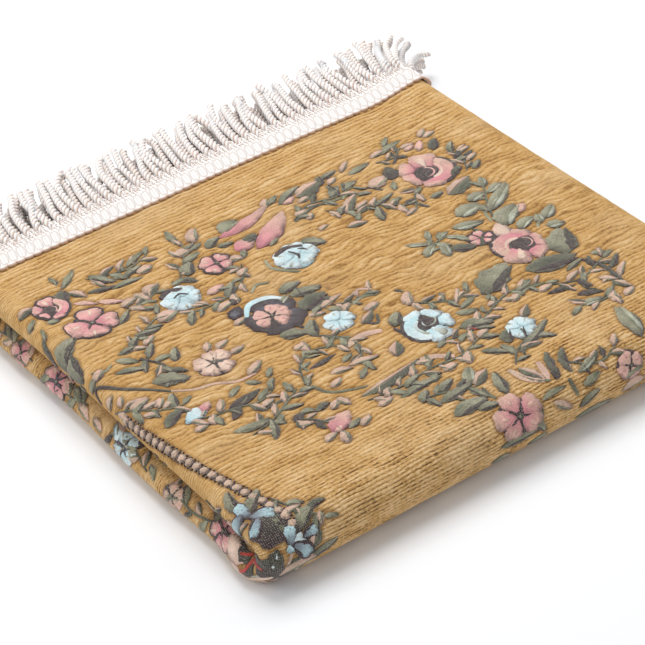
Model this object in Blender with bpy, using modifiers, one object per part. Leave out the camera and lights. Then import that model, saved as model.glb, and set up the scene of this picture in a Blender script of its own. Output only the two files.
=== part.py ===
"""A chenille prayer rug, folded to store, with a bullion fringe sewn to both short ends.

The rug is folded end to end first, so that it lies double. Both sides are then turned under,
which leaves a round roll along the left and the right edge, and last the strip is folded in
half again. The one cloth therefore lies in eight layers, with the pile side outside. Both
fringed ends come out together at the back of the top strip.

Building axes: X runs across the rug, Y from the front fold (Y = 0) to the fringe, and Z up
from the surface that the rug lies on.
"""

import math

import bmesh
import bpy
from mathutils import Vector

# Cloth, in metres.
CLOTH_WIDTH = 0.676
CLOTH_THICKNESS = 0.003
LAYER_PITCH = 0.0036          # middle of one layer to the middle of the next
ROLL_RADIUS = 0.0054          # of the line midway between the two layers, round a side roll
HALF_STRIP = ROLL_RADIUS + (LAYER_PITCH + CLOTH_THICKNESS) / 2

# Stack: a bottom strip, and a top strip folded back over it at the front.
STRIP_GAP = 0.0022
BOTTOM_LEVEL = HALF_STRIP
FRONT_RADIUS = HALF_STRIP + STRIP_GAP / 2
TOP_LEVEL = BOTTOM_LEVEL + 2 * FRONT_RADIUS
FRONT_CENTRE = FRONT_RADIUS + HALF_STRIP
TOP_END = 0.320               # where the fringed end of the outer layer lies
BOTTOM_END = 0.314            # where the end-to-end fold lies
INNER_END_SETBACK = 0.003     # how far the other fringed end lies inside the first
TOP_RUN = TOP_END - FRONT_CENTRE
FRONT_BEND = math.pi * FRONT_RADIUS
BOTTOM_RUN = BOTTOM_END - FRONT_CENTRE
STRIP_LENGTH = TOP_RUN + FRONT_BEND + BOTTOM_RUN

# Half widths of the folded strip, measured along it from the fringe.
# Columns: place, along, left, right.
EDGES = (
    ("fringe end", 0.000, 0.1745, 0.1725),
    ("middle of the top", 0.150, 0.1720, 0.1715),
    ("front of the top", 0.270, 0.1720, 0.1715),
    ("front fold", TOP_RUN + FRONT_BEND / 2, 0.1735, 0.1715),
    ("front of the bottom", TOP_RUN + FRONT_BEND + 0.005, 0.1785, 0.1765),
    ("first hollow", 0.362, 0.1755, 0.1760),
    ("first swell", 0.423, 0.1775, 0.1780),
    ("second hollow", 0.520, 0.1755, 0.1770),
    ("second swell", 0.585, 0.1775, 0.1755),
    ("end-to-end fold", STRIP_LENGTH, 0.1755, 0.1730),
)

# Soft swell of the top strip: a long ridge with a crest on it.
RIDGE_RISE = 0.0005
CREST_RISE = 0.0009
CREST_X = 0.030
CREST_Y = 0.130
CREST_WIDTH = 0.230
CREST_LENGTH = 0.270
SWELL_FADE = 0.090            # over which the swell runs out towards the front fold

# The underside is flat in the middle, and lifts a little towards its rolls.
FLAT_HALF_WIDTH = 0.136
EDGE_LIFT = 0.001
LIFT_RUN = 0.030

# The back right corner of the top strip reaches out.
CORNER_REACH = 0.008
CORNER_WIDTH = 0.055
CORNER_RUN = 0.090

# Faces along and across the cloth.
FLAT_COLUMNS = 6              # from the middle to the end of the flat underside
SIDE_COLUMNS = 2              # from there to the roll
ROLL_COLUMNS = 6
FLAP_COLUMNS = 4
TOP_ROWS = 8
BEND_ROWS = 8
BOTTOM_ROWS = 6
TURN_ROWS = 5

# Fringe trim.
HEADING_WIDTH = 0.0175
HEADING_THICKNESS = 0.0015
SEAM_GAP = 0.0003
ROLL_SLACK = 0.0007           # how much further off the cloth the heading lies round a roll
CORD_COUNT = 108
CORD_PITCH = CLOTH_WIDTH / CORD_COUNT
CORD_WIDTH = 0.0036
CORD_LENGTH = 0.057
CORD_DROOP = 0.005
INNER_CORD_LIFT = 0.0009      # brings the inner cords off those turned under them
CORD_DRIFT = 0.007
CORNER_SPLAY = 0.022          # how much further the cords of the right roll lean out
SPLAY_RUN = 0.018             # over which that lean fades, on either side of the roll
CORD_UNEVENNESS = 0.05        # how far a cord's length strays from the middle one, as a share
CORD_WAVES = (900.0, 371.0)   # radians for each metre along the trim
# Rings of one cord. Columns: place, share of the length, share of the width, share of the height.
CORD_RINGS = (
    ("below the heading", 0.06, 1.00, 2.0),
    ("middle", 0.50, 1.00, 2.2),
    ("before the tip", 0.90, 1.00, 2.2),
    ("tip", 1.00, 0.45, 1.0),
)

TINY = 0.0001

GOLD_CHENILLE = (0.60, 0.38, 0.14, 1.0)
CREAM_CORD = (0.86, 0.82, 0.77, 1.0)


def ease(share):
    """Return a soft step from 0 to 1."""
    share = min(max(share, 0.0), 1.0)
    return share * share * (3.0 - 2.0 * share)


def half_width(side, along):
    """Return the half width of the folded strip on one side, -1 left or 1 right."""
    column = 2 if side < 0 else 3
    for before, after in zip(EDGES, EDGES[1:]):
        if along <= after[1]:
            share = ease((along - before[1]) / (after[1] - before[1]))
            return before[column] + (after[column] - before[column]) * share
    return EDGES[-1][column]


def section(across, along):
    """Return x, depth and the outward normal midway between the layers of the folded strip."""
    side = -1.0 if across < 0 else 1.0
    reach = abs(across)
    centre = half_width(side, along) - HALF_STRIP
    roll = math.pi * ROLL_RADIUS
    if reach < centre:
        return across, ROLL_RADIUS, 0.0, 1.0
    if reach < centre + roll:
        angle = (reach - centre) / ROLL_RADIUS
        out, up = math.sin(angle), math.cos(angle)
        return side * (centre + ROLL_RADIUS * out), ROLL_RADIUS * up, side * out, up
    return side * (2 * centre + roll - reach), -ROLL_RADIUS, 0.0, -1.0


def spine(along):
    """Return y, z and the outward normal of the middle of the strip."""
    if along < TOP_RUN:
        return TOP_END - along, TOP_LEVEL, 0.0, 1.0
    if along < TOP_RUN + FRONT_BEND:
        angle = (along - TOP_RUN) / FRONT_RADIUS
        back, up = -math.sin(angle), math.cos(angle)
        middle = BOTTOM_LEVEL + FRONT_RADIUS
        return FRONT_CENTRE + FRONT_RADIUS * back, middle + FRONT_RADIUS * up, back, up
    return FRONT_CENTRE + along - TOP_RUN - FRONT_BEND, BOTTOM_LEVEL, 0.0, -1.0


def rise(x, y):
    """Return how far the top strip is lifted by its soft waves."""
    ridge = 0.5 + 0.5 * math.cos(math.tau * (x - CREST_X) / CREST_WIDTH)
    crest = 0.5 + 0.5 * math.cos(math.tau * (y - CREST_Y) / CREST_LENGTH)
    return ridge * (RIDGE_RISE + CREST_RISE * crest)


def edge_lift(x, depth, along):
    """Return how far the underside of the bottom strip lifts off the ground near its rolls."""
    lower_half = ease(0.5 + 0.5 * depth / ROLL_RADIUS)
    sideways = ease((abs(x) - FLAT_HALF_WIDTH) / LIFT_RUN)
    return EDGE_LIFT * lower_half * sideways * ease((along - TOP_RUN) / FRONT_BEND)


def fold(across, along, offset):
    """Return the point of the folded rug at a place on the strip.

    across is measured over the cloth from its middle, along from the fringed end, and offset
    outwards from the line midway between the outer and the inner layer.
    """
    x, depth, normal_x, normal_depth = section(across, along)
    x += offset * normal_x
    depth += offset * normal_depth
    y, z, normal_y, normal_z = spine(along)
    y += depth * normal_y
    z += depth * normal_z
    z += rise(x, y) * ease((TOP_RUN - along) / SWELL_FADE) + edge_lift(x, depth, along)
    corner = ease((x - half_width(1, along) + CORNER_WIDTH) / CORNER_WIDTH)
    y += CORNER_REACH * corner * ease(1.0 - along / CORNER_RUN)
    return Vector((x, y, z))


def across_columns(along):
    """Return the places across the cloth where its faces meet, for one place along it."""
    columns = []
    for side in (-1, 1):
        centre = half_width(side, along) - HALF_STRIP
        roll = math.pi * ROLL_RADIUS
        flap = CLOTH_WIDTH / 2 - centre - roll
        rest = centre - FLAT_HALF_WIDTH
        half = [FLAT_HALF_WIDTH * i / FLAT_COLUMNS for i in range(FLAT_COLUMNS)]
        half += [FLAT_HALF_WIDTH + rest * i / SIDE_COLUMNS for i in range(SIDE_COLUMNS)]
        half += [centre + roll * i / ROLL_COLUMNS for i in range(ROLL_COLUMNS)]
        half += [centre + roll + flap * i / FLAP_COLUMNS for i in range(FLAP_COLUMNS + 1)]
        columns.append(half)
    left, right = columns
    return [-place for place in reversed(left[1:])] + right


def run_rows():
    """Return the places along the strip where the rows of faces meet."""
    rows = [TOP_RUN * i / TOP_ROWS for i in range(TOP_ROWS)]
    rows += [TOP_RUN + FRONT_BEND * i / BEND_ROWS for i in range(BEND_ROWS)]
    start = TOP_RUN + FRONT_BEND
    rows += [start + BOTTOM_RUN * i / BOTTOM_ROWS for i in range(BOTTOM_ROWS)]
    return rows


def cloth_rows():
    """Return along and offset for every row of the cloth, from one fringed end to the other."""
    half_pitch = LAYER_PITCH / 2
    outward = run_rows()
    rows = [(along, half_pitch) for along in outward]
    for i in range(TURN_ROWS + 1):
        angle = math.pi * i / TURN_ROWS
        rows.append((STRIP_LENGTH + half_pitch * math.sin(angle), half_pitch * math.cos(angle)))
    rows += [(max(along, INNER_END_SETBACK), -half_pitch) for along in reversed(outward)]
    return rows


def add_object(name, mesh, material, collection, parent):
    """Link a finished mesh as a named object under the rug's own empty."""
    mesh.materials.append(material)
    mesh.shade_smooth()
    mesh.set_sharp_from_angle(angle=math.radians(40.0))
    piece = bpy.data.objects.new(name, mesh)
    collection.objects.link(piece)
    piece.parent = parent
    return piece


def make_material(name, colour, roughness):
    """Return a Principled material of one colour."""
    material = bpy.data.materials.new(name)
    material.use_nodes = True
    shader = material.node_tree.nodes["Principled BSDF"]
    shader.inputs["Base Color"].default_value = colour
    shader.inputs["Roughness"].default_value = roughness
    shader.inputs["Metallic"].default_value = 0.0
    return material


def make_cloth(collection, parent):
    """Fold the one woven cloth: a flat grid moved onto the folds, then given its thickness."""
    rows = cloth_rows()
    columns = 2 * (FLAT_COLUMNS + SIDE_COLUMNS + ROLL_COLUMNS + FLAP_COLUMNS)
    grid = bmesh.new()
    bmesh.ops.create_grid(grid, x_segments=columns, y_segments=len(rows) - 1, size=0.5)
    for vertex in grid.verts:
        column = round((vertex.co.x + 0.5) * columns)
        row = round((0.5 - vertex.co.y) * (len(rows) - 1))
        along, offset = rows[row]
        vertex.co = fold(across_columns(along)[column], along, offset)
    mesh = bpy.data.meshes.new("rug_cloth")
    grid.to_mesh(mesh)
    grid.free()
    cloth = add_object("rug_cloth", mesh, make_material("gold_chenille", GOLD_CHENILLE, 0.9),
                       collection, parent)
    wall = cloth.modifiers.new("thickness", "SOLIDIFY")
    wall.thickness = CLOTH_THICKNESS
    wall.offset = 0.0
    return cloth


def trim_blank():
    """Return a flat length of the trim, each corner at (across, along, height) from its middle.

    The heading is a long thin bar. Every second face of its outer edge is drawn out into a cord.
    """
    bar = bmesh.new()
    bmesh.ops.create_cube(bar, size=1.0)
    long_edges = [edge for edge in bar.edges
                  if abs(edge.verts[0].co.x - edge.verts[1].co.x) > 0.5]
    steps = 2 * CORD_COUNT - 1
    bmesh.ops.subdivide_edges(bar, edges=long_edges, cuts=steps - 1, use_grid_fill=True)
    gap = CORD_PITCH - CORD_WIDTH
    for vertex in bar.verts:
        step = round((vertex.co.x + 0.5) * steps)
        cord, is_far_side = divmod(step, 2)
        across = cord * CORD_PITCH + gap / 2 + (CORD_WIDTH if is_far_side else 0.0)
        along = HEADING_WIDTH if vertex.co.y < 0 else 0.0
        vertex.co = (across - CLOTH_WIDTH / 2, along, vertex.co.z * HEADING_THICKNESS)
    return bar


def is_cord_root(face, bare_rolls):
    """Tell whether a face is one of the trim's outer edge that carries a cord."""
    middle = face.calc_center_median()
    cord = (middle.x + CLOTH_WIDTH / 2) / CORD_PITCH - 0.5
    is_between_cords = abs(cord - round(cord)) > 0.25
    if abs(middle.y) > TINY or abs(middle.z) > TINY or is_between_cords:
        return False
    past_start = abs(middle.x) - half_width(1, 0.0) + HALF_STRIP
    in_roll = -CORD_WIDTH < past_start < math.pi * ROLL_RADIUS + CORD_WIDTH
    return not (bare_rolls and in_roll)


def draw_out_cords(bar, bare_rolls):
    """Draw each cord out of the heading's outer edge, ring by ring."""
    faces = [face for face in bar.faces if is_cord_root(face, bare_rolls)]
    previous_width, previous_height = 1.0, 1.0
    for _, reach, width, height in CORD_RINGS:
        faces = bmesh.ops.extrude_discrete_faces(bar, faces=faces)["faces"]
        for face in faces:
            middle = face.calc_center_median()
            for vertex in face.verts:
                sideways = (vertex.co.x - middle.x) * width / previous_width
                upwards = vertex.co.z * height / previous_height
                vertex.co = (middle.x + sideways, -CORD_LENGTH * reach, upwards)
        previous_width, previous_height = width, height


def cord_reach(across):
    """Return how long a cord is against the longest one."""
    unevenness = math.sin(across * CORD_WAVES[0]) * math.sin(across * CORD_WAVES[1])
    return 1.0 - CORD_UNEVENNESS * (1.0 + unevenness)


def lay_trim(point, offset):
    """Return where a point of the flat trim lies on the rug, with its cord's droop and drift."""
    across, along, height = point
    share = max(0.0, -along / CORD_LENGTH)
    if along < 0:
        along *= cord_reach(across)
    if offset > 0:
        offset += ROLL_SLACK * ease(3.0 * abs(section(across, along)[2]))
    else:
        offset += INNER_CORD_LIFT * ease(share / CORD_RINGS[0][1])
    placed = fold(across, along, offset + height)
    past_start = across - half_width(1, 0.0) + HALF_STRIP
    past_end = past_start - math.pi * ROLL_RADIUS
    lean = ease(1.0 + past_start / SPLAY_RUN) * ease(1.0 - past_end / SPLAY_RUN)
    placed.x += (CORD_DRIFT + CORNER_SPLAY * lean) * share ** 1.5
    placed.z -= CORD_DROOP * share ** 1.7
    return placed


def make_fringe(name, offset, setback, bare_rolls, material, collection, parent):
    """Make one fringe trim, its heading parted from the cloth and its cords fused into it.

    bare_rolls leaves out the cords where the trim turns too tightly for them.
    """
    bar = trim_blank()
    draw_out_cords(bar, bare_rolls)
    for vertex in bar.verts:
        vertex.co = lay_trim(vertex.co, offset)
        vertex.co.y -= setback
    bmesh.ops.recalc_face_normals(bar, faces=bar.faces)
    mesh = bpy.data.meshes.new(name)
    bar.to_mesh(mesh)
    bar.free()
    return add_object(name, mesh, material, collection, parent)


def centre_on_origin(pieces, parent):
    """Move the rug so that the middle of its box's underside is the origin."""
    bpy.context.view_layer.update()
    graph = bpy.context.evaluated_depsgraph_get()
    corners = []
    for piece in pieces:
        corners += [vertex.co.copy() for vertex in piece.evaluated_get(graph).data.vertices]
    lows = [min(corner[axis] for corner in corners) for axis in range(3)]
    highs = [max(corner[axis] for corner in corners) for axis in range(3)]
    parent.location = (-(lows[0] + highs[0]) / 2, -(lows[1] + highs[1]) / 2, -lows[2])


def main():
    """Build the rug in a collection of its own."""
    for old in list(bpy.data.objects):
        bpy.data.objects.remove(old, do_unlink=True)
    collection = bpy.data.collections.new("prayer_rug")
    bpy.context.scene.collection.children.link(collection)
    rug = bpy.data.objects.new("prayer_rug", None)
    collection.objects.link(rug)
    cream = make_material("cream_cord", CREAM_CORD, 0.8)
    seat = CLOTH_THICKNESS / 2 + SEAM_GAP + HEADING_THICKNESS / 2
    offset = LAYER_PITCH / 2 + seat
    inner_setback = INNER_END_SETBACK - SEAM_GAP
    pieces = [
        make_cloth(collection, rug),
        make_fringe("fringe_outer", offset, 0.0, False, cream, collection, rug),
        make_fringe("fringe_inner", -offset, inner_setback, True, cream, collection, rug),
    ]
    centre_on_origin(pieces, rug)


main()
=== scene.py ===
"""The looks of a folded chenille prayer rug with a corded fringe at both short ends.

The rug lies folded in eight layers, its pile outside: doubled end to end, both sides turned
under, and the strip folded in half at the front. The pile, the woven flowers and the two fringes
are laid on the same folds as the frame's solids.

Cloth places are given in millimetres: x across the cloth from its middle, and y counted down
from the fringed end at 320, so that on the top face both are the rug's own X and Y. Past the
front fold y goes on below zero, and past the side rolls x goes on round them.
"""

import logging
import math
from dataclasses import dataclass, field
from enum import Enum

import bpy
import numpy as np
from mathutils import Matrix, Vector

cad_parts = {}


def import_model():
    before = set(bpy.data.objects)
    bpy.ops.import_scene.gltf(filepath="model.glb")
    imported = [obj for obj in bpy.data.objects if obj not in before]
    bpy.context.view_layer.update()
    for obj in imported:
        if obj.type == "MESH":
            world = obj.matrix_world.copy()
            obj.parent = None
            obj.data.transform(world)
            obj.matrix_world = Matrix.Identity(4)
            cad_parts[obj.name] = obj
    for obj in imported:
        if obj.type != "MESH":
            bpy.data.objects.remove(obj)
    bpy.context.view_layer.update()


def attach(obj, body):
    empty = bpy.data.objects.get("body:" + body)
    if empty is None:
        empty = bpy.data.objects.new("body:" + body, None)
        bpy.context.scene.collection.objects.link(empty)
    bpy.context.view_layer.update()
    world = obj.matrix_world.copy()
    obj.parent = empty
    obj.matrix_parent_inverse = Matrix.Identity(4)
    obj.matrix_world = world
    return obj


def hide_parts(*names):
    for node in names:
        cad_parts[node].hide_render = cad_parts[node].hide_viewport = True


LOG = logging.getLogger("prayer_rug")
MM = 0.001
Array = np.ndarray
Material = bpy.types.Material
Piece = bpy.types.Object
Socket = bpy.types.NodeSocket
Point = tuple[float, float]
Rows = tuple[tuple[float, ...], ...]


def ease(share: Array | float) -> Array:
    """Return a soft step from 0 to 1, for a share that is clamped to 0..1."""
    share = np.clip(share, 0.0, 1.0)
    return share * share * (3.0 - 2.0 * share)


def linear(red: float, green: float, blue: float) -> tuple[float, ...]:
    """Turn a screen colour of 0..255 into the linear colour that shaders use.

    Args:
        red: Red, 0 to 255.
        green: Green, 0 to 255.
        blue: Blue, 0 to 255.

    Returns:
        Linear red, green and blue, and full opacity.
    """
    parts = []
    for value in (red / 255.0, green / 255.0, blue / 255.0):
        parts.append(value / 12.92 if value <= 0.04045 else ((value + 0.055) / 1.055) ** 2.4)
    return (*parts, 1.0)


def unit(vectors: Array, least: float = 0.0) -> Array:
    """Return rows of vectors scaled to a length of 1; least keeps a short one from failing."""
    return vectors / (np.linalg.norm(vectors, axis=1, keepdims=True) + least)


def polar(x: float, y: float, reach: float, turn: float, squash: float = 1.0) -> Point:
    """Return the place at a reach and a turn in degrees from another, squashed along y."""
    aim = math.radians(turn)
    return x + reach * math.cos(aim), y + reach * math.sin(aim) * squash


class Yarn(Enum):
    """The yarns of the rug, as screen colours."""

    SAND = (194, 166, 144)
    BLUSH = (208, 172, 154)
    ROSE = (206, 130, 140)
    PEACH = (224, 176, 164)
    RED = (186, 62, 50)
    MOSS = (70, 73, 60)
    LEAF = (108, 111, 88)
    SAGE = (154, 152, 128)
    SKY = (182, 214, 220)
    FOAM = (186, 192, 174)
    MIST = (214, 226, 228)
    SLATE = (104, 110, 122)
    PLUM = (56, 42, 46)
    STRAW = (226, 200, 182)

    @property
    def colour(self) -> Array:
        """Its linear red, green and blue."""
        return np.array(linear(*self.value)[:3])


class Way(Enum):
    """How a patch goes from its first yarn to its second."""

    ALONG = "along"
    ACROSS = "across"
    OUTWARDS = "outwards"


class SoftNoise:
    """A smooth random field that is the same each run."""

    def __init__(self, seed: int) -> None:
        """Fill the table of values."""
        self.table = np.random.default_rng(seed).uniform(-1.0, 1.0, (128, 128))

    def at(self, x: Array, y: Array) -> Array:
        """Return the field at places given in cells.

        Args:
            x: First coordinate, in cells.
            y: Second coordinate, in cells.

        Returns:
            Values between -1 and 1.
        """
        column, row = np.floor(x).astype(int), np.floor(y).astype(int)
        right, up = ease(x - column), ease(y - row)
        size = self.table.shape[0]
        near, far = column % size, (column + 1) % size
        low, high = row % size, (row + 1) % size
        bottom = self.table[near, low] * (1 - right) + self.table[far, low] * right
        top = self.table[near, high] * (1 - right) + self.table[far, high] * right
        return bottom * (1 - up) + top * up


@dataclass(frozen=True)
class FoldMap:
    """Where the folded cloth lies, in metres in the rug's frame."""

    cloth_width: float = 0.676
    cloth_thickness: float = 0.003
    layer_pitch: float = 0.0036
    roll_radius: float = 0.0054
    strip_gap: float = 0.0022
    top_end: float = 0.320
    bottom_end: float = 0.314
    inner_setback: float = 0.0027
    middle_x: float = -0.0130928
    front_y: float = -0.1924455
    ridge_rise: float = 0.0005
    crest_rise: float = 0.0009
    crest_x: float = 0.030
    crest_y: float = 0.130
    crest_width: float = 0.230
    crest_length: float = 0.270
    swell_fade: float = 0.090
    flat_half_width: float = 0.136
    edge_rise: float = 0.001
    edge_run: float = 0.030
    corner_reach: float = 0.008
    corner_width: float = 0.055
    corner_run: float = 0.090

    @property
    def half_strip(self) -> float:
        """Half the thickness of one folded strip."""
        return self.roll_radius + (self.layer_pitch + self.cloth_thickness) / 2

    @property
    def surface(self) -> float:
        """How far the outer face lies from the line midway between two layers."""
        return (self.layer_pitch + self.cloth_thickness) / 2

    @property
    def front_radius(self) -> float:
        """Radius of the front fold at the middle of the strip."""
        return self.half_strip + self.strip_gap / 2

    @property
    def front_centre(self) -> float:
        """Y of the front fold's axis from its nose."""
        return self.front_radius + self.half_strip

    @property
    def top_run(self) -> float:
        """Length of the top strip up to the front fold."""
        return self.top_end - self.front_centre

    @property
    def bend(self) -> float:
        """Length of the front fold along the middle of the strip."""
        return math.pi * self.front_radius

    @property
    def strip_length(self) -> float:
        """Length of the strip from its fringed end to the end-to-end fold."""
        return self.top_run + self.bend + self.bottom_end - self.front_centre

    @property
    def edges(self) -> Rows:
        """Half widths of the strip. Columns: along, left, right."""
        return (
            (0.000, 0.1745, 0.1725),
            (0.150, 0.1720, 0.1715),
            (0.270, 0.1720, 0.1715),
            (self.top_run + self.bend / 2, 0.1735, 0.1715),
            (self.top_run + self.bend + 0.005, 0.1785, 0.1765),
            (0.362, 0.1755, 0.1760),
            (0.423, 0.1775, 0.1780),
            (0.520, 0.1755, 0.1770),
            (0.585, 0.1775, 0.1755),
            (self.strip_length, 0.1755, 0.1730),
        )

    def face_half(self, side: Array, along: Array) -> Array:
        """Return how far the flat face reaches before its side roll starts.

        Args:
            side: -1 for the left, 1 for the right.
            along: Place along the strip.

        Returns:
            Half widths of the flat face.
        """
        table = np.array(self.edges)
        row = np.clip(np.searchsorted(table[:, 0], along, side="right") - 1, 0, len(table) - 2)
        share = ease((along - table[row, 0]) / (table[row + 1, 0] - table[row, 0]))
        column = np.where(side < 0, 1, 2)
        near, far = table[row, column], table[row + 1, column]
        return near + (far - near) * share - self.half_strip

    def fold(self, across: Array, along: Array, offset: Array) -> Array:
        """Return points of the folded rug.

        Args:
            across: Place over the cloth from its middle, on the line midway between layers.
            along: Place along the strip from the fringed end.
            offset: Distance outwards from the line midway between the layers.

        Returns:
            An array of points, one row each.
        """
        across, along, offset = np.broadcast_arrays(
            np.asarray(across, float), np.asarray(along, float), np.asarray(offset, float))
        side = np.where(across < 0, -1.0, 1.0)
        reach = np.abs(across)
        half = self.face_half(side, along)
        angle = np.clip((reach - half) / self.roll_radius, 0.0, math.pi)
        out, up = np.sin(angle), np.cos(angle)
        past = np.maximum(reach - half - math.pi * self.roll_radius, 0.0)
        lever = self.roll_radius + offset
        x = side * (np.minimum(reach, half) - past + lever * out)
        depth = lever * up
        turn = np.clip((along - self.top_run) / self.front_radius, 0.0, math.pi)
        back, high = -np.sin(turn), np.cos(turn)
        bottom = np.maximum(along - self.top_run - self.bend, 0.0)
        y = np.where(along < self.top_run, self.top_end - along, self.front_centre + bottom)
        y = y + (self.front_radius + depth) * back
        z = self.half_strip + self.front_radius + (self.front_radius + depth) * high
        z = z + self.rise(x, y) * ease((self.top_run - along) / self.swell_fade)
        z = z + self.edge_lift(x, depth, along)
        right = self.face_half(np.ones_like(x), along) + self.half_strip
        corner = ease((x - right + self.corner_width) / self.corner_width)
        y = y + self.corner_reach * corner * ease(1.0 - along / self.corner_run)
        return np.stack([x + self.middle_x, y + self.front_y, z], axis=-1)

    def rise(self, x: Array, y: Array) -> Array:
        """Return how far the top strip is lifted by its soft waves.

        Args:
            x: Place across the rug.
            y: Place from the front fold.

        Returns:
            Lifts in metres.
        """
        ridge = 0.5 + 0.5 * np.cos(math.tau * (x - self.crest_x) / self.crest_width)
        crest = 0.5 + 0.5 * np.cos(math.tau * (y - self.crest_y) / self.crest_length)
        return ridge * (self.ridge_rise + self.crest_rise * crest)

    def edge_lift(self, x: Array, depth: Array, along: Array) -> Array:
        """Return how far the underside lifts off the ground near its rolls.

        Args:
            x: Place across the rug.
            depth: Distance outwards from the middle of the strip.
            along: Place along the strip.

        Returns:
            Lifts in metres.
        """
        lower_half = ease(0.5 + 0.5 * depth / self.roll_radius)
        sideways = ease((np.abs(x) - self.flat_half_width) / self.edge_run)
        return self.edge_rise * lower_half * sideways * ease((along - self.top_run) / self.bend)

    def along_at(self, y_mm: Array) -> Array:
        """Turn a cloth place y into a place along the middle of the strip.

        Args:
            y_mm: Cloth place, in millimetres counted down from the fringed end.

        Returns:
            Places along the strip, in metres.
        """
        run = self.top_end - np.asarray(y_mm, float) * MM
        outer = self.front_radius + self.half_strip
        bend = np.clip(run - self.top_run, 0.0, math.pi * outer)
        rest = np.maximum(run - self.top_run - math.pi * outer, 0.0)
        return np.minimum(run, self.top_run) + bend * self.front_radius / outer + rest

    def across_at(self, x_mm: Array, along: Array) -> Array:
        """Turn a cloth place x, measured over the outer face, into a place across.

        Args:
            x_mm: Cloth place, in millimetres from the middle.
            along: Place along the strip, in metres.

        Returns:
            Places across, in metres, on the line midway between the layers.
        """
        reach = np.abs(np.asarray(x_mm, float)) * MM
        side = np.where(np.asarray(x_mm) < 0, -1.0, 1.0)
        half = self.face_half(side, along)
        roll = np.clip(reach - half, 0.0, math.pi * self.half_strip)
        past = np.maximum(reach - half - math.pi * self.half_strip, 0.0)
        across = np.minimum(reach, half) + roll * self.roll_radius / self.half_strip + past
        return side * across

    def lay(self, x_mm: Array, y_mm: Array, lift_mm: Array) -> Array:
        """Return points on the outer face of the folded rug.

        Args:
            x_mm: Cloth place across.
            y_mm: Cloth place along.
            lift_mm: Height above the cloth's outer face.

        Returns:
            An array of points, one row each.
        """
        x_mm, y_mm, lift_mm = np.broadcast_arrays(x_mm, y_mm, lift_mm)
        along = self.along_at(y_mm)
        reach = self.surface + np.asarray(lift_mm, float) * MM
        over = np.maximum(along - self.strip_length, 0.0)
        turn = np.minimum(over / self.surface, math.pi)
        past = np.maximum(over - math.pi * self.surface, 0.0)
        along = np.minimum(along, self.strip_length)
        across = self.across_at(x_mm, along)
        return self.fold(across, along + reach * np.sin(turn) - past, reach * np.cos(turn))


class MeshKit:
    """Collects points, faces and colours, and makes one mesh object of them."""

    def __init__(self) -> None:
        """Start with nothing."""
        self.points: list[Array] = []
        self.faces: list[list[int]] = []
        self.places: list[Array] = []
        self.colours: list[Array] = []
        self.count = 0

    def add(self, points: Array, faces: list, places: Array, colours: Array) -> None:
        """Add points with their faces.

        Args:
            points: The points, one row each.
            faces: Lists of indices into these points.
            places: A UV place for each point.
            colours: Red, green, blue and a fourth value for each point.
        """
        self.points.append(points)
        self.places.append(places)
        self.colours.append(np.broadcast_to(colours, (len(points), 4)))
        self.faces.extend([[index + self.count for index in face] for face in faces])
        self.count += len(points)

    def make(self, name: str, material: Material, crease: float = 50.0, tint: str = "tint") -> Piece:
        """Make the object.

        Args:
            name: The object's name.
            material: Its material.
            crease: Edges sharper than this, in degrees, stay sharp.
            tint: The name of the colour attribute.

        Returns:
            The new object, at the origin.
        """
        mesh = bpy.data.meshes.new(name)
        mesh.from_pydata(np.concatenate(self.points).tolist(), [], self.faces)
        corners = np.empty(len(mesh.loops), dtype=np.int32)
        mesh.loops.foreach_get("vertex_index", corners)
        weave = mesh.uv_layers.new(name="weave")
        weave.data.foreach_set("uv", np.concatenate(self.places)[corners].ravel())
        paint = mesh.color_attributes.new(name=tint, type="FLOAT_COLOR", domain="POINT")
        paint.data.foreach_set("color", np.concatenate(self.colours).ravel())
        mesh.materials.append(material)
        mesh.shade_smooth()
        mesh.set_sharp_from_angle(angle=math.radians(crease))
        piece = bpy.data.objects.new(name, mesh)
        bpy.context.scene.collection.objects.link(piece)
        return piece


def grid_faces(rows: int, columns: int, wrap: bool = False) -> list[list[int]]:
    """Return the quads of a grid whose points run row by row.

    Args:
        rows: Number of rows of points.
        columns: Number of points in a row.
        wrap: Whether the last column joins the first.

    Returns:
        Lists of four indices, wound so that they face up where rows run towards -Y.
    """
    across = columns if wrap else columns - 1
    row, column = np.meshgrid(np.arange(rows - 1), np.arange(across), indexing="ij")
    near = (row * columns + column).ravel()
    side = (row * columns + (column + 1) % columns).ravel()
    return np.stack([near, near + columns, side + columns, side], axis=-1).tolist()


def slab_faces(rows: int, columns: int) -> list[list[int]]:
    """Return the faces of a closed slab made of an outer and an inner grid of the same size.

    Args:
        rows: Number of rows of points in each grid.
        columns: Number of points in a row.

    Returns:
        Outer faces, inner faces and the walls between their rims.
    """
    total = rows * columns
    outer = grid_faces(rows, columns)
    inner = [[total + index for index in reversed(face)] for face in outer]
    rim = list(range(columns)) + [row * columns + columns - 1 for row in range(1, rows)]
    rim += [(rows - 1) * columns + column for column in range(columns - 2, -1, -1)]
    rim += [row * columns for row in range(rows - 2, 0, -1)]
    walls = [[a, b, b + total, a + total] for a, b in zip(rim, rim[1:] + rim[:1])]
    return outer + inner + walls


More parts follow.
